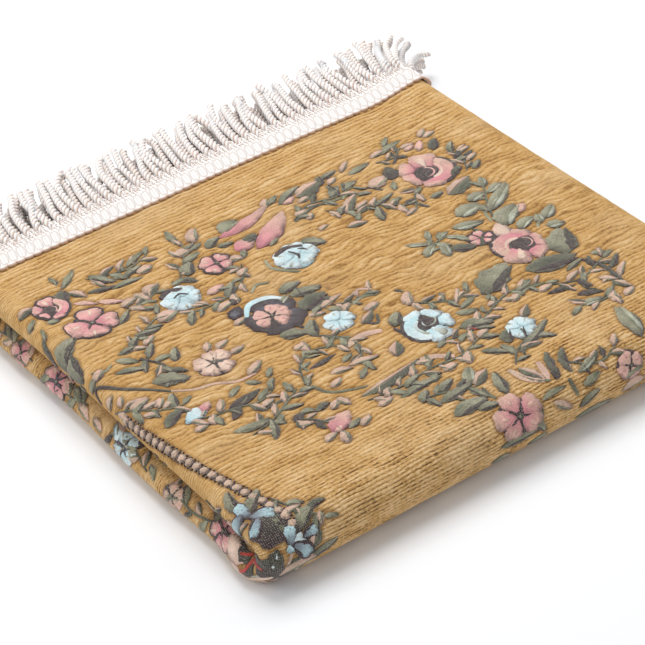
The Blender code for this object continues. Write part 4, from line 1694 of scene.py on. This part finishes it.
# Stems and tendrils. Columns: the points each passes, width, look and, for some, a lift.
STEMS: tuple = (
    (((-179, 165), (-172, 172), (-163, 160), (-152, 150), (-141, 139)), 2.4, Look.DARK),
    (((-141, 139), (-130, 132), (-118, 129), (-108, 123), (-95, 122)), 2.0, Look.BLUSH),
    (((-118, 219), (-110, 220), (-102, 218)), 2.0, Look.LEAF),
    (((7, 228), (25, 234), (42, 231), (55, 231)), 2.2, Look.MOSS),
    (((63, 230), (69, 221)), 2.4, Look.DARK),
    (((44, 229), (50, 232), (56, 227)), 2.0, Look.SAGE),
    (((-54, 186), (-47, 191), (-40, 187)), 2.0, Look.SAGE),
    (((-70, 168), (-62, 177), (-50, 176), (-44, 170)), 3.8, Look.SKY, 0.4),
    (((-29, 208), (-31, 199), (-25, 190), (-20, 184)), 2.4, Look.SAGE),
    (((91, 240), (96, 243), (99, 252)), 2.2, Look.DARK),
    (((98, 150), (101, 160), (107, 168)), 2.0, Look.SAGE),
    (((115, 127), (118, 131), (122, 133)), 2.0, Look.SAGE),
    (((-139, 175), (-132, 165), (-131, 152), (-131, 140)), 2.2, Look.DARK),
    (((-112, 92), (-98, 93), (-86, 92), (-78, 92), (-76, 85), (-70, 79), (-54, 72)), 2.2,
     Look.MOSS),
    (((-49, 128), (-43, 120), (-35, 114)), 2.4, Look.MOSS),
    (((-54, 146), (-50, 139)), 2.6, Look.PLUM),
    (((-72, 112), (-72, 104)), 2.0, Look.SAGE),
    (((-42, 108), (-30, 111), (-18, 107)), 4.6, Look.BLUSH),
    (((-167, 182), (-160, 178), (-154, 181)), 2.0, Look.LEAF),
    (((-16, 137), (-8, 140), (1, 136)), 2.4, Look.SAGE),
    (((-22, 121), (-16, 114), (-11, 121)), 2.2, Look.DARK),
    (((10, 132), (13, 128)), 2.2, Look.DARK),
    (((3, 88), (8, 84), (13, 82)), 2.2, Look.PLUM),
    (((-12, 104), (-10, 94), (-8, 84)), 3.0, Look.PLUM),
    (((114, 86), (118, 78), (119, 70), (118, 55)), 3.2, Look.DARK),
    (((98, 70), (97, 64), (101, 58)), 1.8, Look.DARK),
    (((-18, 72), (-10, 69), (-1, 62)), 4.0, Look.BLUSH),
    (((-7, 30), (-8, 24), (-7, 18)), 2.4, Look.MOSS),
    (((13, 0), (11, -6), (8, -12)), 2.4, Look.MOSS),
    (((30, 38), (34, 44), (40, 47)), 2.2, Look.MOSS),
    (((14, 33), (17, 20), (26, 15), (31, 28)), 4.6, Look.BLUSH),
    (((15, 27), (19, 17), (27, 12)), 2.4, Look.MOSS),
    (((37, 8), (37, 3), (38, -3)), 2.6, Look.MOSS),
    (((68, 0), (77, 6), (86, -1)), 3.6, Look.PLUM),
    (((-14, 144), (-5, 147), (1, 142)), 2.0, Look.BLUSH),
    (((-176, -14), (-184, -18), (-187, -30), (-182, -42)), 3.2, Look.RED, 0.5),
    (((-184, -10), (-193, -20), (-196, -34), (-192, -46)), 2.8, Look.RED, 0.5),
    (((-170, -18), (-176, -26), (-178, -40)), 2.2, Look.CREAM, 0.5),
    (((-166, -2), (-174, -18), (-180, -36)), 3.0, Look.LIGHT),
    (((-158, -6), (-166, -22), (-172, -38)), 2.6, Look.BLUSH),
    (((-198, -50), (-190, -60), (-182, -74)), 1.8, Look.PLUM),
    (((-84, 226), (-74, 218)), 2.0, Look.DARK),
    (((-98, 216), (-91, 219), (-83, 216)), 4.6, Look.PLUM, 0.4),
    (((-92, 211), (-87, 213), (-83, 209)), 2.0, Look.PLUM, 0.4),
    (((-23, 206), (-14, 209), (-4, 205)), 4.2, Look.PLUM, 0.4),
    (((-14, 205), (-11, 199), (-13, 195)), 2.2, Look.PLUM, 0.4),
    (((-8, 204), (-4, 199)), 2.0, Look.PLUM, 0.4),
    (((84, 152), (86, 146)), 2.0, Look.MOSS),
    (((-62, 122), (-66, 117), (-60, 113)), 2.0, Look.SAGE),
    (((60, 80), (70, 84), (82, 82)), 1.8, Look.SAGE),
)

# Leafy sprigs. Columns: the points each stalk passes, its leaves' looks in turn, leaf size.
MIXED = (Look.BLUSH, Look.TWIN, Look.SAGE, Look.BLUSH, Look.LEAF)
GREENS = (Look.LEAF, Look.SAGE, Look.TWIN, Look.MOSS)
PALES = (Look.PALE, Look.SAGE)
DARKS = (Look.TWIN, Look.BLUSH, Look.DARK)
SPRIGS: tuple = (
    (((-122, 262), (-108, 257), (-94, 255), (-80, 260)), MIXED, 9.0),
    (((-120, 222), (-108, 220), (-96, 224)), MIXED, 8.0),
    (((-78, 226), (-66, 240), (-57, 256)), MIXED, 9.5),
    (((8, 230), (25, 238), (42, 234), (56, 236)), GREENS, 9.5),
    (((28, 226), (40, 216), (58, 210), (70, 198)), MIXED, 8.5),
    (((-42, 214), (-50, 201), (-68, 192), (-92, 193)), MIXED, 8.5),
    (((-138, 176), (-132, 164), (-131, 148)), GREENS, 9.0),
    (((-141, 186), (-126, 194), (-108, 204)), MIXED, 8.0),
    (((-176, 150), (-166, 138), (-154, 128), (-142, 124)), MIXED, 9.0),
    (((-150, 112), (-136, 106), (-122, 104), (-108, 100), (-96, 104)), MIXED, 9.0),
    (((-128, 78), (-112, 82), (-100, 88), (-86, 96)), MIXED, 9.0),
    (((-80, 96), (-72, 112), (-58, 118), (-44, 112)), MIXED, 8.5),
    (((-49, 128), (-40, 118), (-36, 104), (-44, 92)), MIXED, 8.5),
    (((-104, 76), (-94, 68), (-88, 58)), DARKS, 8.0),
    (((-62, 62), (-40, 60), (-18, 62), (2, 60), (20, 66)), MIXED, 9.0),
    (((-40, 44), (-24, 40), (-10, 34)), GREENS, 10.0),
    (((0, 76), (22, 74), (42, 82), (60, 88), (80, 84)), MIXED, 8.0),
    (((84, 78), (98, 72), (110, 74), (124, 80)), DARKS, 9.0),
    (((118, 66), (110, 54), (98, 48), (84, 52)), MIXED, 9.0),
    (((8, 118), (18, 110), (32, 102), (44, 104)), MIXED, 8.0),
    (((100, 150), (108, 166), (120, 186)), PALES, 11.0),
    (((44, 150), (56, 154), (68, 156)), PALES, 8.0),
    (((40, 22), (50, 12), (62, 8), (74, 12)), DARKS, 8.0),
    (((20, 34), (30, 44), (46, 50)), GREENS, 10.0),
    (((88, 210), (78, 200), (72, 190)), DARKS, 8.0),
    (((122, 204), (128, 214), (132, 228)), DARKS, 8.5),
    (((84, 248), (96, 246), (106, 252)), DARKS, 8.0),
    (((-26, 146), (-14, 140), (0, 142)), MIXED, 7.5),
    (((-34, 176), (-26, 160), (-30, 144)), GREENS, 10.0),
    (((-178, 60), (-182, 40), (-180, 24)), MIXED, 9.0),
    (((-150, 30), (-144, 16), (-134, 4)), GREENS, 9.0),
    (((-150, -10), (-160, -22), (-170, -30)), DARKS, 9.0),
    (((-184, 230), (-188, 210), (-186, 190)), MIXED, 8.0),
    (((-186, 160), (-190, 130), (-186, 104)), MIXED, 9.0),
    (((-190, -70), (-186, -92), (-190, -112)), GREENS, 10.0),
    (((-188, -136), (-192, -156), (-188, -176)), DARKS, 11.0),
    (((-190, -204), (-186, -222), (-190, -244)), GREENS, 11.0),
    (((-188, -262), (-192, -284), (-188, -306)), MIXED, 10.0),
    (((186, -70), (190, -92), (187, -116)), GREENS, 10.0),
    (((188, -160), (184, -186), (189, -210)), MIXED, 10.0),
    (((187, -250), (191, -276), (186, -300)), DARKS, 10.0),
)

# The beaded band down the left side, in cloth places. Columns: x, y.
BEADED_BORDER: Rows = (
    (-176, 142), (-174, 136), (-173, 120), (-171, 108), (-170, 100), (-168, 88), (-165, 72),
    (-162, 60), (-159, 48), (-156, 36), (-154, 30), (-152, 18), (-151, 8),
)


@dataclass
class Fringe:
    """A cream fringe trim: a heading with a web and a looped edge, and twisted cords."""

    folds: FoldMap
    name: str
    offset: float
    setback: float = 0.0
    pitch: float = 0.0037
    stagger: float = 0.0016
    bare_rolls: bool = False
    seed: int = 21
    heading_width: float = 0.0175
    web_width: float = 0.0075
    heading_thickness: float = 0.0015
    roll_slack: float = 0.0007
    inner_lift: float = 0.0009
    cord_length: float = 0.057
    droop: float = 0.005
    drift: float = 0.012
    corner_splay: float = 0.025
    corner_back: float = 0.022
    splay_run: float = 0.022
    unevenness: float = 0.05
    waves: tuple = (900.0, 371.0)
    crown_radius: float = 0.0024
    groove_share: float = 0.42
    lay: float = 0.0084
    cord_steps: int = 74
    sides: int = 8
    column_step: float = 0.0012
    knot_pitch: float = 0.006

    def cord_reach(self, across: Array) -> Array:
        """Return how long the cords at some places are, as a share of the longest."""
        wave = np.sin(across * self.waves[0]) * np.sin(across * self.waves[1])
        return 1.0 - self.unevenness * (1.0 + wave)

    def lay_trim(self, across: Array, along: Array, height: Array, cord: Array) -> Array:
        """Return points of the trim on the folded rug, with its cords' droop and drift.

        Args:
            across: Places over the cloth from its middle.
            along: Places from the cords' roots, positive over the heading.
            height: Distance out from the trim's middle.
            cord: The place across of the cord that each point belongs to.

        Returns:
            An array of points.
        """
        across, along, height, cord = np.broadcast_arrays(across, along, height, cord)
        share = np.maximum(0.0, -along / self.cord_length)
        along = np.where(along < 0, along * self.cord_reach(cord), along)
        flat = float(self.folds.face_half(np.array(1.0), np.array(0.0)))
        side = np.where(cord < 0, -1.0, 1.0)
        half = self.folds.face_half(side, np.maximum(along, 0.0))
        angle = np.clip((np.abs(cord) - half) / self.folds.roll_radius, 0.0, math.pi)
        if self.offset > 0:
            offset = self.offset + self.roll_slack * ease(3.0 * np.sin(angle))
        else:
            offset = self.offset + self.inner_lift * ease(share / 0.06)
        points = self.folds.fold(across, along, offset + height)
        start = cord - flat
        end = start - math.pi * self.folds.roll_radius
        quarter = math.pi * self.folds.roll_radius / 2
        lean = np.clip((start + self.splay_run) / (self.splay_run + quarter), 0.0, 1.0)
        lean = lean * ease(1.0 - end / self.splay_run)
        points[..., 0] += self.drift * share ** 1.7 + self.corner_splay * lean * share ** 1.2
        points[..., 1] -= self.setback + self.corner_back * lean ** 2 * share ** 1.4
        points[..., 2] -= self.droop * (1.0 + 2.0 * lean ** 3) * share ** 1.7
        return points

    def cord(self, kit: MeshKit, across: float, level: float, random: np.random.Generator) -> None:
        """Add one looped cord, its section that of two twisted plies.

        Args:
            kit: Where it is collected.
            across: Its place on the trim.
            level: Its height above the trim's middle.
            random: Source of its own small bends.
        """
        share = np.linspace(0.0, 1.0, self.cord_steps)
        along = 0.0012 - share * (self.cord_length + 0.0012)
        height = level * ease(share / 0.18)
        line = self.lay_trim(np.full_like(share, across), along, height, across)
        raised = self.lay_trim(np.full_like(share, across), along, height + MM, across)
        towards = unit(np.gradient(line, axis=0))
        aside = unit(np.cross(towards, unit(raised - line)))
        out = np.cross(aside, towards)
        sway = random.normal(0.0, 0.0034)
        bend = random.normal(0.0, 0.0028)
        ripple = random.uniform(0.0, math.tau)
        shift = sway * share ** 1.6 + bend * np.sin(math.pi * share) * share
        shift = shift + 0.0005 * np.sin(ripple + share * 11.0) * share
        line = line + aside * shift[:, None]
        line = line + out * (random.normal(0.0, 0.0008) * share ** 2)[:, None]
        length = np.linspace(0.0, self.cord_length, self.cord_steps)
        twist = math.tau * length / self.lay + random.uniform(0.0, math.tau)
        size = random.normal(1.0, 0.06) * (0.36 + 0.64 * ease(share / 0.17))
        size = size * (1.0 + 0.12 * ease((share - 0.9) / 0.05))
        size = size * np.sqrt(np.clip((1.004 - share) / 0.04, 0.0, 1.0))
        angles = np.linspace(0, math.tau, self.sides, endpoint=False)
        crown = np.abs(np.cos(angles))
        reach = self.crown_radius * (self.groove_share + (1.0 - self.groove_share) * crown)
        turn = twist[:, None] + angles[None, :]
        radii = (size[:, None] * reach[None, :])[..., None]
        points = (line[:, None] + out[:, None] * np.cos(turn)[..., None] * radii
                  + aside[:, None] * np.sin(turn)[..., None] * radii)
        faces = []
        for near, low, high, beside in grid_faces(self.cord_steps, self.sides, wrap=True):
            faces += [[near, beside, low], [beside, high, low]]
        faces.append(list(range(self.sides)))
        last = (self.cord_steps - 1) * self.sides
        faces.append([last + side for side in range(self.sides - 1, -1, -1)])
        # Painted shade: in the grooves between the plies, near the roots, and more on the lower cords.
        shade = 0.9 * (1.0 - crown)[None, :] ** 1.2 + 0.2 * (1.0 - share[:, None]) ** 4
        shade = shade + (0.2 if level < 0 else 0.05)
        tint = np.ones((self.cord_steps * self.sides, 4))
        tint[:, 0] = np.clip(shade, 0.0, 1.0).ravel()
        uv = np.stack([np.tile(angles * MM, self.cord_steps), np.repeat(length, self.sides)], axis=-1)
        kit.add(points.reshape(-1, 3), faces, uv, tint)

    def build_cords(self, material: Material) -> list[Piece]:
        """Make the cords, as one piece for each half of the trim, and return them."""
        random = np.random.default_rng(self.seed)
        kits = {"left": MeshKit(), "right": MeshKit()}
        flat = float(self.folds.face_half(np.array(1.0), np.array(0.0)))
        roll = math.pi * self.folds.roll_radius
        half = self.folds.cloth_width / 2 - self.pitch / 2
        places = np.arange(-half, half, self.pitch)
        if not self.bare_rolls:
            places = np.append(places, flat + np.arange(-0.012, roll, self.pitch) + 0.0016)
        for index, across in enumerate(places):
            past = abs(across) - flat
            if self.bare_rolls and -0.004 < past < roll + 0.004:
                continue
            level = self.stagger * (1.0 if index % 2 else -1.0)
            kit = kits["left" if across < 0 else "right"]
            self.cord(kit, float(across + random.normal(0.0, 0.0003)), level, random)
        return [kit.make(f"{self.name}_cords_{side}", material, crease=80.0)
                for side, kit in kits.items()]

    def build_heading(self, material: Material) -> Piece:
        """Make the heading, with the open web at the cords' roots, and return it."""
        half = self.folds.cloth_width / 2
        across = np.arange(-half, half, self.column_step)
        along = np.linspace(-self.web_width, self.heading_width, 13)
        columns, rows = np.meshgrid(across, along[::-1])
        columns, rows = columns.ravel(), rows.ravel()
        body = ease((rows - 0.001) / 0.002) * ease((self.heading_width - rows) / 0.003)
        outer = self.heading_thickness * (0.15 + 0.55 * body)
        inner = -self.heading_thickness * (0.35 + 0.15 * body)
        if self.offset < 0:
            outer, inner = -inner, -outer
        points = np.concatenate([self.lay_trim(columns, rows, outer, columns),
                                 self.lay_trim(columns, rows, inner, columns)])
        places = np.tile(np.stack([columns, rows], axis=-1), (2, 1))
        kit = MeshKit()
        faces = [face[::-1] for face in slab_faces(len(along), len(across))]
        kit.add(points, faces, places, np.ones(4))
        return kit.make(self.name + "_heading", material, crease=70.0)

    def build_rope(self, material: Material) -> Piece:
        """Make the chain of flat loops along the heading's inner edge and return it."""
        half = self.folds.cloth_width / 2 - self.knot_pitch / 2
        kit = MeshKit()
        angles = np.linspace(0, math.tau, 12, endpoint=False)
        side = 1.0 if self.offset > 0 else -1.0
        # Columns: share of the loop's outline, height.
        levels = ((0.5, -0.0005), (1.0, 0.0001), (0.86, 0.0013), (0.45, 0.0021))
        for middle in np.arange(-half, half, self.knot_pitch):
            rings, shades = [], []
            for share, height in levels:
                out = share * np.cos(angles)
                up = share * np.sin(angles) * (1.0 - 0.35 * np.cos(angles) ** 2)
                across = middle + 0.52 * self.knot_pitch * out
                along = self.heading_width + 0.0006 + 0.0015 * up + 0.0008 * out
                tilt = height + 0.0004 * out
                rings.append(self.lay_trim(across, along, side * tilt, across))
                shades.append(np.full(len(angles), share ** 2))
            tint = np.ones((len(levels) * len(angles), 4))
            tint[:, 0] = np.concatenate(shades)
            faces = grid_faces(len(levels), len(angles), wrap=True)
            faces.append(list(range(len(angles))))
            last = (len(levels) - 1) * len(angles)
            faces.append([last + index for index in range(len(angles) - 1, -1, -1)])
            if side > 0:
                faces = [face[::-1] for face in faces]
            places = np.stack([np.tile(angles * MM, len(levels)), np.full(len(tint), middle)], axis=-1)
            kit.add(np.concatenate(rings), faces, places, tint)
        return kit.make(self.name + "_rope_edge", material, crease=80.0)


@dataclass
class Studio:
    """The pale floor, the soft lights and the camera."""

    floor_tone: tuple = linear(243, 244, 246)
    place: tuple = (-0.65991, -0.97505, 0.86434)
    right: tuple = (0.80695, -0.58761, -0.05955)
    upwards: tuple = (0.39265, 0.45842, 0.79729)
    forward: tuple = (0.44120, 0.66675, -0.60065)
    lens: float = 133.95
    # Columns: name, x, y, z, size, watts.
    lights: Rows = (
        ("overhead", 0.15, 0.50, 1.45, 1.0, 16.0),
        ("window_side", -1.20, 0.30, 0.95, 1.0, 5.5),
        ("far_side", 1.20, 0.50, 0.95, 1.0, 2.5),
        ("front_fill", 0.30, -1.50, 1.20, 1.4, 2.5),
    )

    def build_floor(self) -> None:
        """Make the floor."""
        bpy.ops.object.select_all(action="DESELECT")
        bpy.ops.mesh.primitive_plane_add(size=12.0, location=(0.0, 0.0, 0.0))
        floor = bpy.context.active_object
        floor.name = "studio_floor"
        material, _, shader = start_material("pale_floor")
        shader.inputs["Base Color"].default_value = self.floor_tone
        shader.inputs["Roughness"].default_value = 0.8
        shader.inputs["Specular IOR Level"].default_value = 0.1
        floor.data.materials.append(material)

    def build_lights(self) -> None:
        """Add the soft lights and the pale surroundings."""
        for name, x, y, z, size, watts in self.lights:
            lamp = bpy.data.lights.new(name, "AREA")
            lamp.size = size
            lamp.energy = watts
            lamp_object = bpy.data.objects.new(name, lamp)
            bpy.context.scene.collection.objects.link(lamp_object)
            lamp_object.location = (x, y, z)
            aim = Vector((0.0, 0.0, 0.0)) - Vector((x, y, z))
            lamp_object.rotation_euler = aim.to_track_quat("-Z", "Y").to_euler()
        world = bpy.data.worlds.new("pale_room")
        world.use_nodes = True
        backdrop = world.node_tree.nodes["Background"]
        backdrop.inputs["Color"].default_value = (1.0, 1.0, 1.0, 1.0)
        backdrop.inputs["Strength"].default_value = 0.46
        bpy.context.scene.world = world

    def build_camera(self) -> None:
        """Add the camera at the photograph's angle."""
        lens = bpy.data.cameras.new("camera")
        lens.lens = self.lens
        lens.sensor_width = 36.0
        lens.clip_start = 0.05
        camera = bpy.data.objects.new("camera", lens)
        bpy.context.scene.collection.objects.link(camera)
        columns = (Vector(self.right), Vector(self.upwards), -Vector(self.forward))
        turn = Matrix(columns).transposed().to_4x4()
        camera.matrix_world = Matrix.Translation(self.place) @ turn
        bpy.context.scene.camera = camera
        bpy.context.scene.view_settings.view_transform = "Standard"


@dataclass
class PrayerRug:
    """The whole folded rug: cloth, pile, woven flowers and both fringes."""

    folds: FoldMap = field(default_factory=FoldMap)
    loom: Loom = field(default_factory=Loom)
    flat_width: float = 0.676
    flat_length: float = 1.26

    def weave_flowers(self) -> WovenFlowers:
        """Weave the wreath of flowers, leaves and stems and the beaded border.

        Returns:
            The woven flowers, ready to build.
        """
        cloth = WovenFlowers(self.folds, self.loom)
        for route, *make in STEMS:
            cloth.stem(list(route), *make)
        for route, looks, size in SPRIGS:
            cloth.sprig(list(route), looks, size)
        for look, rows in LEAVES.items():
            for x, y, length, width, turn in rows:
                shape = Shape.LOBED if look in (Look.DUSK, Look.SKY) else Shape.LEAF
                cloth.leaf(x, y, cloth.leaf_length * length, cloth.leaf_width * width, turn,
                           look, shape, 0.2 if look is Look.DUSK else 0.0)
        for flower in FLOWERS:
            cloth.flower(flower)
        for x, y, radius, turn, look in ROSES:
            cloth.rose(x, y, radius, turn, look)
        cloth.beaded_border(list(BEADED_BORDER))
        self.loom.soften()
        return cloth

    def add(self, piece: Piece, slot: str) -> Piece:
        """Let a piece ride on the rug, report it and return it."""
        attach(piece, "root")
        LOG.info("%s: %d faces", piece.name, len(piece.data.polygons))
        return piece

    def build(self) -> None:
        """Build every piece."""
        flowers = self.weave_flowers()
        backing = self.add(Backing(self.folds).build(BackingFinish().build()), "chenille")
        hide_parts("rug_cloth")
        for piece in Pile(self.folds, self.loom).build(PileFinish().build()):
            self.add(piece, "chenille")
        for piece in flowers.build(WovenFinish().build()):
            self.add(piece, "chenille")
        cream = CordFinish().build()
        knotted = HeadingFinish().build()
        gap, half_heading = 0.0003, 0.00075
        seat = self.folds.surface + gap + half_heading
        outer = Fringe(self.folds, "outer_fringe", seat)
        inner = Fringe(self.folds, "inner_fringe", -seat, self.folds.inner_setback,
                       pitch=0.0048, stagger=0.0003, bare_rolls=True, seed=22,
                       column_step=0.004, cord_steps=46)
        for fringe, node in ((outer, "fringe_outer"), (inner, "fringe_inner")):
            for piece in (*fringe.build_cords(cream), fringe.build_heading(knotted),
                          fringe.build_rope(cream)):
                self.add(piece, "fringe_cord")
                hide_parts(node)


def main() -> None:
    """Build the rug in its studio."""
    logging.basicConfig(level=logging.INFO, format="%(name)s: %(message)s")
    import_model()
    studio = Studio()
    studio.build_camera()
    studio.build_lights()
    studio.build_floor()
    PrayerRug().build()


if __name__ == "__main__":
    main()
